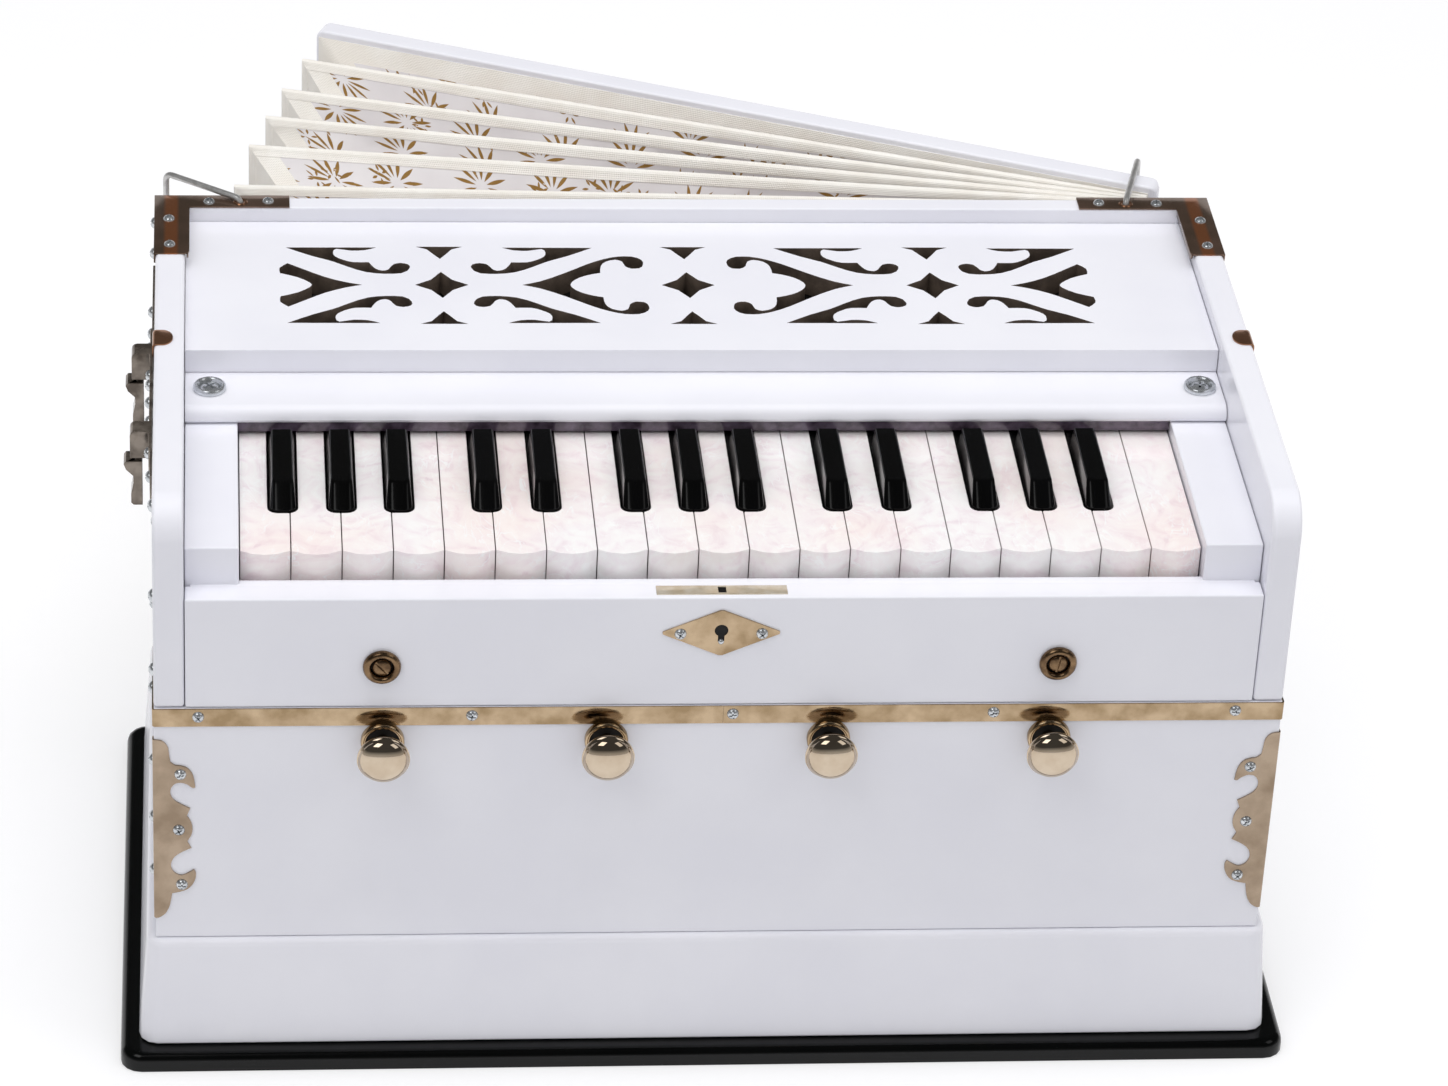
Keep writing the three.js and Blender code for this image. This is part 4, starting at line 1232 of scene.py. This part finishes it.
@dataclass
class FrontMetal:
    """The band, the corner guards, the lock and the cup screws on the front."""

    screws: Screws
    sheet: SheetMetal = SheetMetal(0.7, 0.15)
    fold: float = 0.5
    band_foot: float = 167.0
    band_head: float = 175.6
    band_side: float = 236.0
    band_screws: tuple[float, ...] = (-217.6, -104.6, 4.0, 113.5, 215.9)
    side_screws: tuple[float, ...] = (22.0, 88.0, 154.0, 220.0)
    guard: tuple[Point2, ...] = (
        (0.0, 160.6), (3.0, 159.9), (5.2, 157.0), (5.8, 152.5), (6.2, 149.5), (8.2, 147.9),
        (10.6, 147.5), (13.4, 146.2), (15.6, 142.6), (16.5, 136.6), (15.2, 136.4), (13.4, 137.9),
        (10.7, 139.0), (8.0, 138.4), (6.3, 135.9), (6.3, 132.8), (7.9, 130.2), (10.8, 128.1),
        (14.3, 126.1), (12.9, 122.3), (14.4, 119.8), (15.2, 116.4), (14.8, 112.8), (13.0, 109.4),
        (14.7, 106.0), (12.5, 104.9), (10.0, 103.5), (7.6, 101.4), (6.3, 98.7), (6.3, 95.9), (7.8, 93.4),
        (10.4, 92.2), (13.0, 93.2), (15.7, 95.0), (16.5, 93.4), (16.3, 90.3), (14.9, 87.0), (12.7, 84.8),
        (9.7, 83.6), (6.5, 82.9), (6.1, 80.0), (5.3, 76.0), (3.7, 72.6), (1.5, 70.7), (0.0, 70.2),
    )
    guard_corners: tuple[int, ...] = (0, 4, 9, 18, 19, 23, 24, 33, 39, 44)
    guard_screws: tuple[Point2, ...] = ((10.8, 143.3), (10.0, 115.3), (11.1, 87.5))
    shield_middle: Point2 = (-2.6, 211.7)
    shield_half: Point2 = (24.3, 10.9)
    shield_screw: float = 16.9
    keyhole: float = 2.8
    keyhole_shade_disc: tuple[Point2, ...] = ((0, 0.05), (5.4, 0.05), (5.4, 0.3), (0, 0.3))
    pin: tuple[Point2, ...] = ((0, 0.2), (1.15, 0.2), (1.15, 1.2), (0.7, 1.7), (0, 1.85))
    pin_drop: float = 4.1
    panel_top: float = 228.3
    foil: SheetMetal = SheetMetal(0.3, 0.05)
    strike: tuple[float, ...] = (-29.8, 2.4, 24.4, 8.9)
    strike_hole: tuple[float, ...] = (-4.2, 3.4, -0.9, 7.9)
    strike_hole_shade: tuple[float, ...] = (-5.0, 3.0, 0.0, 8.3)
    cup_places: tuple[float, ...] = (-142.2, 138.8)
    cup_level: float = 196.0
    cup: tuple[Point2, ...] = (
        (4.3, 0.1), (7.6, 0.1), (7.9, 0.7), (7.8, 1.6), (7.1, 2.6), (6.2, 3.0), (5.4, 2.8), (4.9, 2.1),
        (4.4, 1.0), (4.3, 0.1),
    )
    cup_floor: tuple[Point2, ...] = ((0, 0.1), (4.8, 0.1), (4.8, 0.4), (0, 0.4))

    def build(self) -> None:
        """Makes all of the front's metal."""
        self.wrap()
        self.lock()
        self.cups()

    def wrap(self) -> None:
        """Lays the nickel band round the front and the sides, and a shaped guard round each corner."""
        front = flowing(self.guard, self.guard_corners)
        guard = [*front, *((-u - 0.8, v) for u, v in reversed(front))]
        band = rectangle(-self.band_side, self.band_foot, HALF_WIDTH - 0.5, self.band_head)
        for name, outline, finish in (
            ("case_band", band, WARM_NICKEL), ("corner_guards", guard, GUARD_NICKEL),
        ):
            how = {"at": (-HALF_WIDTH + 0.5, 0, 0), "fold": self.fold}
            trim(name, [self.sheet.plate(outline, mirror=mirror, **how) for mirror in MIRRORED], finish)
        drive, level = self.screws.drive, (self.band_foot + self.band_head) / 2 + 0.5
        for x in self.band_screws:
            drive(SMALL_DOME, (x, -0.5, level), FRONT)
        for side in SIDES:
            for y in self.side_screws:
                drive(SIDE_DOME, (side * (HALF_WIDTH + 0.5), y, level), (side, 0, 0))
        for side in SIDES:
            for u, v in self.guard_screws:
                drive(SMALL_DOME, (side * (HALF_WIDTH - u), -0.5, v), FRONT)
                drive(SMALL_DOME, (side * (HALF_WIDTH + 0.5), u, v), (side, 0, 0))

    def lock(self) -> None:
        """Makes the lozenge-shaped shield with its keyhole, and the lock's strike on top, with black patches
        of painted shade in their holes.
        """
        (x, z), (half, rise) = self.shield_middle, self.shield_half
        lozenge = [(-half, 0.6), (-half, -0.6), (-0.8, -rise), (0.8, -rise), (half, -0.6), (half, 0.6)]
        lozenge += [(0.8, rise), (-0.8, rise)]
        hole = [(self.keyhole * u, 1.2 + self.keyhole * v) for u, v in arc(-62, 304, 18)]
        hole += [(-1.3, -4.0), (-0.6, -4.6), (0.6, -4.6), (1.3, -4.0)]
        trim("keyhole_shield", [self.sheet.plate(lozenge, hole, at=(x, 0, z))], WARM_NICKEL)
        # A black disc behind the keyhole is painted shade for the hole.
        keyhole_shade_disc = turned(self.keyhole_shade_disc, (x, 0, z), FRONT, 24)
        trim("keyhole_shade", [keyhole_shade_disc], SHADE_BLACK)
        pin = turned(self.pin, (x, 0, z - self.pin_drop), FRONT, 16)
        trim("keyhole_pin", [pin], BRIGHT_STEEL)
        for side in SIDES:
            self.screws.drive(SMALL_DOME, (x + side * self.shield_screw, -0.5, z - 0.3), FRONT)
        how = {"at": (0, 0, self.panel_top), "up": BACK}
        strike = self.sheet.plate(rectangle(*self.strike), rectangle(*self.strike_hole), **how)
        trim("lock_strike", [strike], STRIKE_NICKEL)
        # A black foil under the strike's hole is painted shade for the bolt's hole.
        slot = self.foil.plate(rectangle(*self.strike_hole_shade), **how)
        trim("strike_hole_shade", [slot], SHADE_BLACK)

    def cups(self) -> None:
        """Turns the cup washers of the front panel, each with a black disc of painted shade on its floor."""
        cups, floors = [], []
        for x in self.cup_places:
            place = (x, 0, self.cup_level)
            cups.append(turned(self.cup, place, FRONT, 48))
            # The black disc on each cup's floor is painted shade.
            floors.append(turned(self.cup_floor, place, FRONT, 32))
            self.screws.drive(BRASS_CORE, (x, -1.3, self.cup_level), FRONT)
        trim("front_cup_washers", cups, ANTIQUE_BRASS, 55)
        trim("front_cup_shadows", floors, SHADE_BLACK)


@dataclass
class TopMetal:
    """The bronze corner plates and straps, and the cup screws that hold the key rail."""

    screws: Screws
    sheet: SheetMetal = SheetMetal(0.8, 0.15)
    depth: float = 267.3
    back_arm: float = 177.0
    side_arm: float = 214.5
    cheek_inner: float = 221.2
    panel_front: float = 257.6
    skirt: float = 6.0
    plate_screws: tuple[Point2, ...] = ((230.2, 245.7), (229.8, 222.2), (212.6, 261.6), (186.5, 262.2))
    skirt_screws: tuple[float, ...] = (224.0, 252.0)
    strap_back: float = 140.5
    strap_start: float = 2.6
    strap_round: float = 4.6
    strap_half: float = 6.2
    strap_tail: float = 15.0
    cup_places: tuple[float, ...] = (-212.5, 213.4)
    cup_back: float = 128.5
    cup_level: float = 253.2
    cup: tuple[Point2, ...] = (
        (4.4, 0.1), (6.8, 0.1), (7.0, 0.8), (6.9, 1.9), (6.4, 2.6), (5.8, 2.8), (5.3, 2.5), (4.9, 1.4),
        (4.4, 0.7), (4.4, 0.1),
    )

    def build(self) -> None:
        """Makes the metal on top of the case."""
        self.corners()
        self.straps()
        cups = []
        for x in self.cup_places:
            cups.append(turned(self.cup, (x, self.cup_back, self.cup_level), UP, 48))
            self.screws.drive(CUP_CORE, (x, self.cup_back, self.cup_level + 0.8), UP)
        trim("rail_cup_washers", cups, BRIGHT_STEEL, 55)

    def corners(self) -> None:
        """Lays an angled plate on each back corner, with skirts down the outside and a lip inside."""
        outer, back, inner, front = HALF_WIDTH + 0.8, self.depth + 0.7, self.cheek_inner, self.panel_front
        arm, skirt = self.side_arm, self.skirt
        flat = [
            (-outer, arm), (-inner - 2.2, arm), (-inner - 0.7, arm + 0.7), (-inner, arm + 2.2),
            (-inner, front), (-self.back_arm, front), (-self.back_arm, back), (-outer, back),
        ]
        side = [
            (arm + 4, -skirt), (back, -skirt), (back, 0.2), (arm, 0.2), (arm, -1.5),
            (arm + 1.2, -skirt + 1.2),
        ]
        side = [(-u, v) for u, v in reversed(side)]
        rear = rectangle(self.back_arm, -skirt, HALF_WIDTH + 0.7, 0.2)
        lip = [(arm + 6, -3.6), (front, -3.6), (front, 0.2), (arm, 0.2), (arm + 0.8, -1.6), (arm + 2.6, -3.1)]
        plates = []
        for mirror in MIRRORED:
            for outline, at, across, up in (
                (flat, (0, 0, CASE_TOP - 0.05), RIGHT, BACK), (side, (-HALF_WIDTH, 0, CASE_TOP), FRONT, UP),
                (rear, (0, self.depth, CASE_TOP), LEFT, UP), (lip, (-inner - 1.2, 0, CASE_TOP), BACK, UP),
            ):
                plates.append(self.sheet.plate(outline, at=at, across=across, up=up, mirror=mirror))
        trim("corner_plates", plates, DARK_BRONZE)
        for turn in SIDES:
            for x, y in self.plate_screws:
                self.screws.drive(SMALL_DOME, (turn * x, y, CASE_TOP + 0.6), UP)
            for y in self.skirt_screws:
                self.screws.drive(SMALL_DOME, (turn * (HALF_WIDTH + 0.6), y, CASE_TOP - 4.6), (turn, 0, 0))

    def straps(self) -> None:
        """Folds a round-ended strap over the top edge of each cheek."""
        start, tail, half = self.strap_start, -self.strap_tail, self.strap_half
        nose = [(start + self.strap_round * u, half * v) for u, v in arc(-90, 180, 12)]
        outline = [(tail, -half), (start, -half), *nose, (tail, half)]
        at = (-HALF_WIDTH + 0.8, self.strap_back, CASE_TOP - 0.05)
        straps = [self.sheet.plate(outline, at=at, up=BACK, mirror=mirror, fold=0.8) for mirror in MIRRORED]
        trim("cheek_straps", straps, BROWN_BRONZE)


@dataclass
class Catches:
    """The plate and levers on the left cheek, the strips before and behind them, and their screws."""

    joinery: Joinery
    screws: Screws
    sheet: SheetMetal = SheetMetal(1.1, 0.3)
    plate: float = 1.8
    strips: tuple[Point2, ...] = ((36.0, 57.6), (158.4, 214.0))
    strip_foot: float = 253.0
    strip_head: float = 266.0
    strip_screws: tuple[float, ...] = (46.0, 165.0, 184.0)
    plate_screws: tuple[float, ...] = (152.5, 129.0, 120.8, 106.2, 90.5, 65.0)
    cheek_screws: tuple[Point2, ...] = ((25.7, 258.0), (14.0, 222.0), (8.0, 190.0))
    other_screw: Point2 = (62.0, 250.0)

    def build(self) -> None:
        """Dresses the catches and drives their screws."""
        # The catches and the cheek strips wear nickel darkened as painted dark reflection.
        self.joinery.dress("catch_plate", DARK_REFLECTION_NICKEL, 1.0)
        for n in (1, 2):
            self.joinery.dress(f"catch_lever_{n}", DARK_REFLECTION_NICKEL, 1.5, 4)
        strips = []
        for start, end in self.strips:
            outline = rectangle(-end, self.strip_foot, -start, self.strip_head)
            strips.append(self.sheet.plate(outline, at=(-HALF_WIDTH, 0, 0), across=FRONT))
        trim("cheek_edge_strips", strips, DARK_REFLECTION_NICKEL)
        level = (self.strip_foot + self.strip_head) / 2
        for rows, thickness in ((self.strip_screws, self.sheet.thickness), (self.plate_screws, self.plate)):
            for y in rows:
                self.screws.drive(SMALL_DOME, (-HALF_WIDTH - thickness, y, level), LEFT)
        for place in self.cheek_screws:
            self.screws.drive(SIDE_DOME, (-HALF_WIDTH, *place), LEFT)
        self.screws.drive(SIDE_DOME, (HALF_WIDTH, *self.other_screw), RIGHT)


@dataclass
class Bails:
    """The wire hooks at the back corners: a foot in a bushing, an arm and a leg."""

    foot_x: float = 198.7
    foot_y: float = 261.5
    level: float = 273.7
    wire: float = 1.4
    arm: float = 39.0
    rise: float = 1.6
    leg: float = 11.0
    sunk: float = 4.0
    fillet: float = 3.0
    sides: int = 14
    headings: tuple[Point2, ...] = ((-1, 147.7), (1, 73.9))
    bushing: tuple[Point2, ...] = (
        (1.5, 0.1), (3.2, 0.1), (3.2, 0.9), (2.8, 1.3), (1.9, 1.3), (1.5, 1.0), (1.5, 0.1),
    )

    def graph(self) -> Graph:
        """Builds the tree that bends wire along a chain of edges.

        Returns:
            The node tree, with named sizes.
        """
        kinds = {"Wire Radius": "Float", "Bend Radius": "Float", "Sides": "Int", "Finish": "Material"}
        graph = Graph.geometry("bent wire", {"Path": "Geometry", **kinds})
        given = graph.node("NodeGroupInput").outputs
        line = graph.add("GeometryNodeMeshToCurve", {0: given["Path"]})
        bend = {"mode": "POLY", "Count": 6, "Limit Radius": True, 0: line, "Radius": given["Bend Radius"]}
        bent = graph.add("GeometryNodeFilletCurve", bend)
        round_wire = {"Resolution": given["Sides"], "Radius": given["Wire Radius"]}
        section = graph.add("GeometryNodeCurvePrimitiveCircle", round_wire)
        drawn = graph.add("GeometryNodeCurveToMesh", {"Fill Caps": True, 0: bent, 1: section})
        graph.close(drawn, given["Finish"])
        return graph

    def path(self, side: float, degrees: float) -> list[Vector]:
        """Gives the chain of points that one wire follows.

        Args:
            side: Minus one for the left bail, one for the right.
            degrees: Direction of its arm, from X.

        Returns:
            Places from the foot to the end of the leg.
        """
        foot = Vector((side * self.foot_x, self.foot_y, 0))
        away = Vector((math.cos(math.radians(degrees)), math.sin(math.radians(degrees)), 0))
        elbow = foot + away * self.arm
        high = self.level + self.rise
        ends = [(foot, self.level - self.sunk), (foot, self.level), (elbow, high), (elbow, high - self.leg)]
        return [row(spot.x, spot.y, z) for spot, z in ends]

    def build(self) -> None:
        """Bends both wires and sets the bushings that they turn in."""
        bushings = []
        graph = self.graph()
        for name, (side, degrees) in zip(("bail_left", "bail_right"), self.headings):
            mesh = bpy.data.meshes.new("wire path")
            mesh.from_pydata(self.path(side, degrees), [(0, 1), (1, 2), (2, 3)], [])
            sizes = {
                "Wire Radius": self.wire * MM, "Bend Radius": self.fillet * MM, "Sides": self.sides,
                "Finish": DRAWN_WIRE.material(),
            }
            hand_over(graph.run(link(f"{name}_wire", mesh), sizes, 50), name, DRAWN_WIRE, solid=name)
            bushings.append(turned(self.bushing, (side * self.foot_x, self.foot_y, CASE_TOP), UP, 24))
        trim("bail_bushings", bushings, BROWN_BRONZE)


@dataclass(frozen=True)
class FoldShape:
    """Where one fold of the bellows stands when they are open, with angles in radians."""

    number: int
    reach: float
    before: float
    turn: float
    after: float
    is_first: bool
    is_last: bool

    def gaps(self) -> Point2:
        """Gives the angles to the neighbours before and after."""
        return self.turn - self.before, self.after - self.turn


@dataclass
class Bellows:
    """Five pleats of card under printed paper, with cream cloth on their edges and corners."""

    axis_x: float = 213.3
    axis_y: float = 278.5
    closed: float = 11.2
    foot: float = 98.0
    head: float = 268.0
    root: float = 1.6
    leaf: float = 28.0
    edge: float = 1.9
    tape: float = 4.8
    gusset: float = 11.0
    card: float = 0.35
    clearance: float = 0.12
    paper_inset: float = 0.3
    print_shift: float = 0.6
    print_step: float = 0.6
    fold_shift: float = 7.3
    strip_shift: float = 1.7
    long_steps: int = 40
    gusset_steps: int = 3
    end_steps: int = 12
    waves: tuple[Point3, ...] = ((0.5, 23.0, 2.1), (0.35, 9.5, 1.0))
    keep: float = 0.045
    open_degrees: float = 22.6
    reaches: tuple[float, ...] = (414.8, 410.4, 406.9, 405.3, 404.7)
    turn_shares: tuple[float, ...] = (0.0975, 0.327, 0.499, 0.666, 0.856)

    def __post_init__(self) -> None:
        """Works out half the thickness of a closed fold."""
        self.half_pitch = self.closed / (2 * (len(self.reaches) + 1))

    def build(self) -> None:
        """Makes every fold, with the angles of its neighbours."""
        whole = math.radians(self.open_degrees)
        turns = [0.0, *(share * whole for share in self.turn_shares), whole]
        last = len(self.reaches)
        for n, reach in enumerate(self.reaches, 1):
            self.build_fold(FoldShape(n, reach, turns[n - 1], turns[n], turns[n + 1], n == 1, n == last))

    def opening(self, reach: float, angle: float) -> float:
        """Gives half the room between two ridges at a distance from the hinge line."""
        return self.half_pitch + reach * math.tan(angle / 2)

    def depth(self, reach: float, shape: FoldShape) -> float:
        """Gives how deep the valley lies under the ridge at a distance from the hinge line."""
        widest = max(self.opening(reach, gap) for gap in shape.gaps())
        return math.sqrt(max(self.leaf**2 - widest**2, (self.leaf / 2) ** 2))

    def stations(self, shape: FoldShape) -> list[tuple[Point2, Point2, bool, float]]:
        """Walks round the fold.

        Args:
            shape: The fold.

        Returns:
            For each station its ridge point, its valley point, whether cloth covers the face after it,
            and the distance walked.
        """
        left_depth = self.depth(shape.reach - self.leaf, shape)
        right_depth = self.depth(self.root + self.leaf, shape)
        left_in, right_in = shape.reach - left_depth, self.root + right_depth
        walk: list[tuple[Point2, Point2, bool]] = []
        runs = (
            (self.root, right_in), (self.root + self.gusset, right_in + self.gusset),
            (shape.reach - self.gusset, left_in - self.gusset), (shape.reach, left_in),
        )

        def along(ends: tuple[Point2, ...], base: float, way: int) -> None:
            """Walks along the underside or the top, with a gusset at each end."""
            for part, ((a0, b0), (a1, b1)) in enumerate(zip(ends, ends[1:])):
                count = self.long_steps if part == 1 else self.gusset_steps
                for i in range(count):
                    t = i / count
                    out, inner = a0 + (a1 - a0) * t, b0 + (b1 - b0) * t
                    walk.append(((out, base), (inner, base + way * self.depth(inner, shape)), part != 1))

        def upright(out: float, inner: float, first: float, last: float, deep: float) -> None:
            """Walks up or down one end."""
            start, stop = first + deep, last - deep
            for i in range(self.end_steps):
                t = i / self.end_steps
                walk.append(((out, first + (last - first) * t), (inner, start + (stop - start) * t), True))

        along(runs, self.foot, 1)
        upright(shape.reach, left_in, self.foot, self.head, left_depth)
        along(runs[::-1], self.head, -1)
        upright(self.root, right_in, self.head, self.foot, -right_depth)
        distance = 0.0
        found = []
        for (ridge, valley, cloth), following in zip(walk, [*walk[1:], walk[0]]):
            found.append((ridge, valley, cloth, distance))
            distance += math.dist(ridge, following[0])
        return found

    def section(
        self, ridge: Point2, valley: Point2, shape: FoldShape, wave: float
    ) -> list[tuple[float, float, float, bool]]:
        """Gives the pleat's outer line at one station, from the front valley over the ridge to the rear.

        Args:
            ridge: The ridge point, as reach and height.
            valley: The valley point.
            shape: The fold.
            wave: How far the card bows out here.

        Returns:
            Share of the way to the valley, offset from the ridge plane, print coordinate, and whether it
            lies under the tape.
        """
        deep = math.dist(ridge, valley)
        before, after = shape.gaps()
        nose = min(self.edge, 0.8 * self.opening(ridge[0], min(before, after)))
        tape = min(self.tape, deep / 3)
        line = []
        for way, gap, is_outer in ((-1, before, shape.is_first), (1, after, shape.is_last)):
            wide = self.opening(valley[0], gap) - self.clearance
            slope = (wide - nose) / (deep - nose)
            half = [(nose * (1 - u), nose * v, True) for u, v in arc(0, 90, 3)]
            for part in (0.5, 1.0):
                d = nose + (tape - nose) * part
                half.append((d, nose + slope * (d - nose), True))
            for part in (0.02, 0.25, 0.5, 0.75, 1.0):
                d = tape + (deep - tape) * part
                inset = self.paper_inset if part < 1 else 0.0
                offset = nose + slope * (d - nose) - inset + wave * math.sin(math.pi * part)
                half.append((d, min(offset, wide), False))
            points = [(d / deep, way * y, d, cloth) for d, y, cloth in half]
            if is_outer:
                far = 2 * self.opening(ridge[0], gap) - self.paper_inset
                for part in (0.33, 0.66, 1.0):
                    y = wide + (far - wide) * part
                    points.append((1 - part, way * y, deep * (1 + part), part > 0.5))
            line.append(points)
        return [*reversed(line[0]), *line[1][1:]]

    def build_fold(self, shape: FoldShape) -> None:
        """Makes one fold and lets it ride its body.

        Args:
            shape: The fold.
        """
        number = shape.number
        sine, cosine = math.sin(shape.turn), math.cos(shape.turn)
        lift = -self.closed + 2 * self.half_pitch * number
        mesh = bpy.data.meshes.new(f"fold {number}")
        with editing(mesh) as work:
            spread = work.loops.layers.uv.new("print")
            rings, marks, cloths = [], [], []
            for ridge, valley, cloth, walked in self.stations(shape):
                wave = sum(h * math.sin(walked / run + number * shift) for h, run, shift in self.waves)
                ring, mark = [], []
                for share, offset, leaf, taped in self.section(ridge, valley, shape, wave):
                    x, y = -(ridge[0] + (valley[0] - ridge[0]) * share), lift + offset
                    z = ridge[1] + (valley[1] - ridge[1]) * share
                    spot = row(self.axis_x + x * cosine + y * sine, self.axis_y - x * sine + y * cosine, z)
                    ring.append(work.verts.new(spot))
                    strip = 2 * number + (1 if offset > 0 else 0)
                    across = leaf / 10 + PAPER.flower.cell * strip - self.print_shift
                    along = walked / 10 + number * self.fold_shift + strip * self.strip_shift
                    mark.append((along, across, taped))
                rings.append(ring)
                marks.append(mark)
                cloths.append(cloth)
            for i, (ring, mark, cloth) in enumerate(zip(rings, marks, cloths)):
                j = (i + 1) % len(rings)
                step = marks[j][0][0] - mark[0][0] if j else self.print_step
                for k, ((u0, v0, tape0), (u1, v1, tape1)) in enumerate(zip(mark, mark[1:])):
                    face = work.faces.new((ring[k], rings[j][k], rings[j][k + 1], ring[k + 1]))
                    face.material_index = int(cloth or (tape0 and tape1))
                    places = (u0, v0), (u0 + step, v0), (u1 + step, v1), (u1, v1)
                    for loop, place in zip(face.loops, places):
                        loop[spread].uv = place
        made = link(f"bellows_pleat_{number}", mesh)
        if self.is_inside_out(mesh):
            mesh.flip_normals()
        mesh.materials.append(PAPER.material())
        mesh.materials.append(BINDING.material())
        card = made.modifiers.new("card", "SOLIDIFY")
        card.thickness = self.card * MM
        card.offset = -1.0
        made = settle(made)
        shade(made.data, 38)
        body = f"bellows_fold_{number}"
        hand_over(made, body, PAPER, BINDING, solid=body)
        anchor = row(self.axis_x + lift * sine, self.axis_y + lift * cosine, self.foot)
        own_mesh(made)

    def is_inside_out(self, mesh: Mesh) -> bool:
        """Tells whether the faces on top of a fold look down."""
        high = [face for face in mesh.polygons if face.center.z > (self.head - self.leaf / 2) * MM]
        return sum(face.normal.z * face.area for face in high) < 0


@dataclass
class Studio:
    """The pale floor and backdrop, the soft lamps and the camera."""

    focal_px: float = 5451.763
    image_width: float = 1448.0
    place: Point3 = (-0.209403, -1.997438, 1.421376)
    yaw: float = -0.10883379
    pitch: float = 0.55155418
    roll: float = 0.05373432
    world: float = 0.55
    ceiling: float = 0.065
    horizon: float = 0.5
    aim: Point3 = (0.0, 0.0, 0.15)
    half: float = 5.0
    backdrop: float = 4.5
    backdrop_height: float = 1.6

    def build(self) -> None:
        """Sets up everything around the harmonium."""
        bpy.context.scene.view_settings.view_transform = "Standard"
        self.sky()
        self.ground()
        self.lamp("key softbox", (-1.1, -1.3, 2.5), 1.3, 11.5)
        self.lamp("fill softbox", (1.7, -0.9, 2.0), 1.2, 4.5)
        self.lamp("top softbox", (0.1, -0.1, 2.7), 1.5, 27.5, False)
        self.camera()

    def sky(self) -> None:
        """Lights the room evenly, shows it white and lets polished faces mirror a dark ceiling."""
        world = bpy.data.worlds.new("white room")
        graph = Graph.of(world)
        rays = graph.node("ShaderNodeLightPath").outputs
        way = graph.node("ShaderNodeTexCoord").outputs["Generated"]
        height = graph.node("ShaderNodeSeparateXYZ", {0: way}).outputs[2]
        room = graph.remap(height, 0.03, 0.3, self.horizon, self.ceiling)
        mirrored = graph.average(rays["Is Glossy Ray"], self.world, room)
        direct = graph.calc("MAXIMUM", rays["Is Camera Ray"], rays["Is Transmission Ray"])
        light = {"Color": srgb("#FFFFFF"), "Strength": graph.average(direct, mirrored, 1.0)}
        graph.node("ShaderNodeOutputWorld", {0: graph.add("ShaderNodeBackground", light)})
        bpy.context.scene.world = world

    def ground(self) -> None:
        """Lays a white floor that keeps a faint shadow, and raises a backdrop behind it."""
        paper = bpy.data.materials.new("white_backdrop_paper")
        graph = Graph.of(paper)
        grain = graph.bump(graph.add("ShaderNodeTexNoise", {"Scale": 900.0}), 0.02, 0.0005)
        plain = graph.add("ShaderNodeBsdfDiffuse", {"Color": srgb("#DADADC"), "Normal": grain})
        dim = graph.add("ShaderNodeBsdfDiffuse", {"Color": srgb("#C3C3C5")})
        glow = graph.add("ShaderNodeEmission", {"Color": srgb("#FFFFFF"), "Strength": 0.5})
        shown = graph.add("ShaderNodeAddShader", {0: dim, 1: glow})
        rays = graph.node("ShaderNodeLightPath").outputs
        first = graph.calc("MAXIMUM", rays["Is Camera Ray"], rays["Is Glossy Ray"])
        seen = graph.calc("MAXIMUM", first, rays["Is Transmission Ray"])
        both = graph.add("ShaderNodeMixShader", {0: seen, 1: plain, 2: shown})
        graph.node("ShaderNodeOutputMaterial", {0: both})
        half, back, top = self.half, self.backdrop, self.backdrop_height
        for name, corners in (
            ("floor", [(-half, -half, 0), (half, -half, 0), (half, half, 0), (-half, half, 0)]),
            ("backdrop", [(-half, back, 0), (half, back, 0), (half, back, top), (-half, back, top)]),
        ):
            mesh = bpy.data.meshes.new(name)
            mesh.from_pydata(corners, [], [(0, 1, 2, 3)])
            mesh.materials.append(paper)
            link(name, mesh)

    def lamp(self, name: str, place: Point3, size: float, power: float, mirrored: bool = True) -> None:
        """Hangs a square softbox that looks at the middle of the harmonium.

        Args:
            name: The lamp's name.
            place: Where it hangs, in metres.
            size: Its side.
            power: Its power in watts.
            mirrored: Whether polished surfaces show it.
        """
        light = bpy.data.lights.new(name, "AREA")
        light.size = size
        light.energy = power
        hung = bpy.data.objects.new(name, light)
        hung.location = place
        hung.visible_glossy = mirrored
        hung.rotation_euler = (Vector(self.aim) - Vector(place)).to_track_quat("-Z", "Y").to_euler()
        bpy.context.scene.collection.objects.link(hung)

    def camera(self) -> None:
        """Stands the camera where the photograph was taken."""
        data = bpy.data.cameras.new("camera")
        data.sensor_width = 36.0
        data.lens = self.focal_px / self.image_width * data.sensor_width
        data.clip_end = 50.0
        level = math.cos(self.pitch)
        ahead = Vector((-math.sin(self.yaw) * level, math.cos(self.yaw) * level, -math.sin(self.pitch)))
        right = Vector((math.cos(self.yaw), math.sin(self.yaw), 0.0))
        up = right.cross(ahead)
        c, s = math.cos(self.roll), math.sin(self.roll)
        turn = Matrix((c * right + s * up, -s * right + c * up, -ahead)).transposed().to_4x4()
        turn.translation = Vector(self.place)
        stand = bpy.data.objects.new("camera", data)
        stand.matrix_world = turn
        bpy.context.scene.collection.objects.link(stand)
        bpy.context.scene.camera = stand


def main() -> None:
    """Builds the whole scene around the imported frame."""
    logging.basicConfig(level=logging.INFO, format="%(message)s")
    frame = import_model()
    Studio().build()
    joinery = Joinery(frame)
    screws = Screws()
    Case(joinery).build()
    Keyboard(joinery).build()
    StopKnobs().build()
    FrontMetal(screws).build()
    TopMetal(screws).build()
    Catches(joinery, screws).build()
    Bails().build()
    Bellows().build()
    screws.build()


if __name__ == "__main__":
    main()
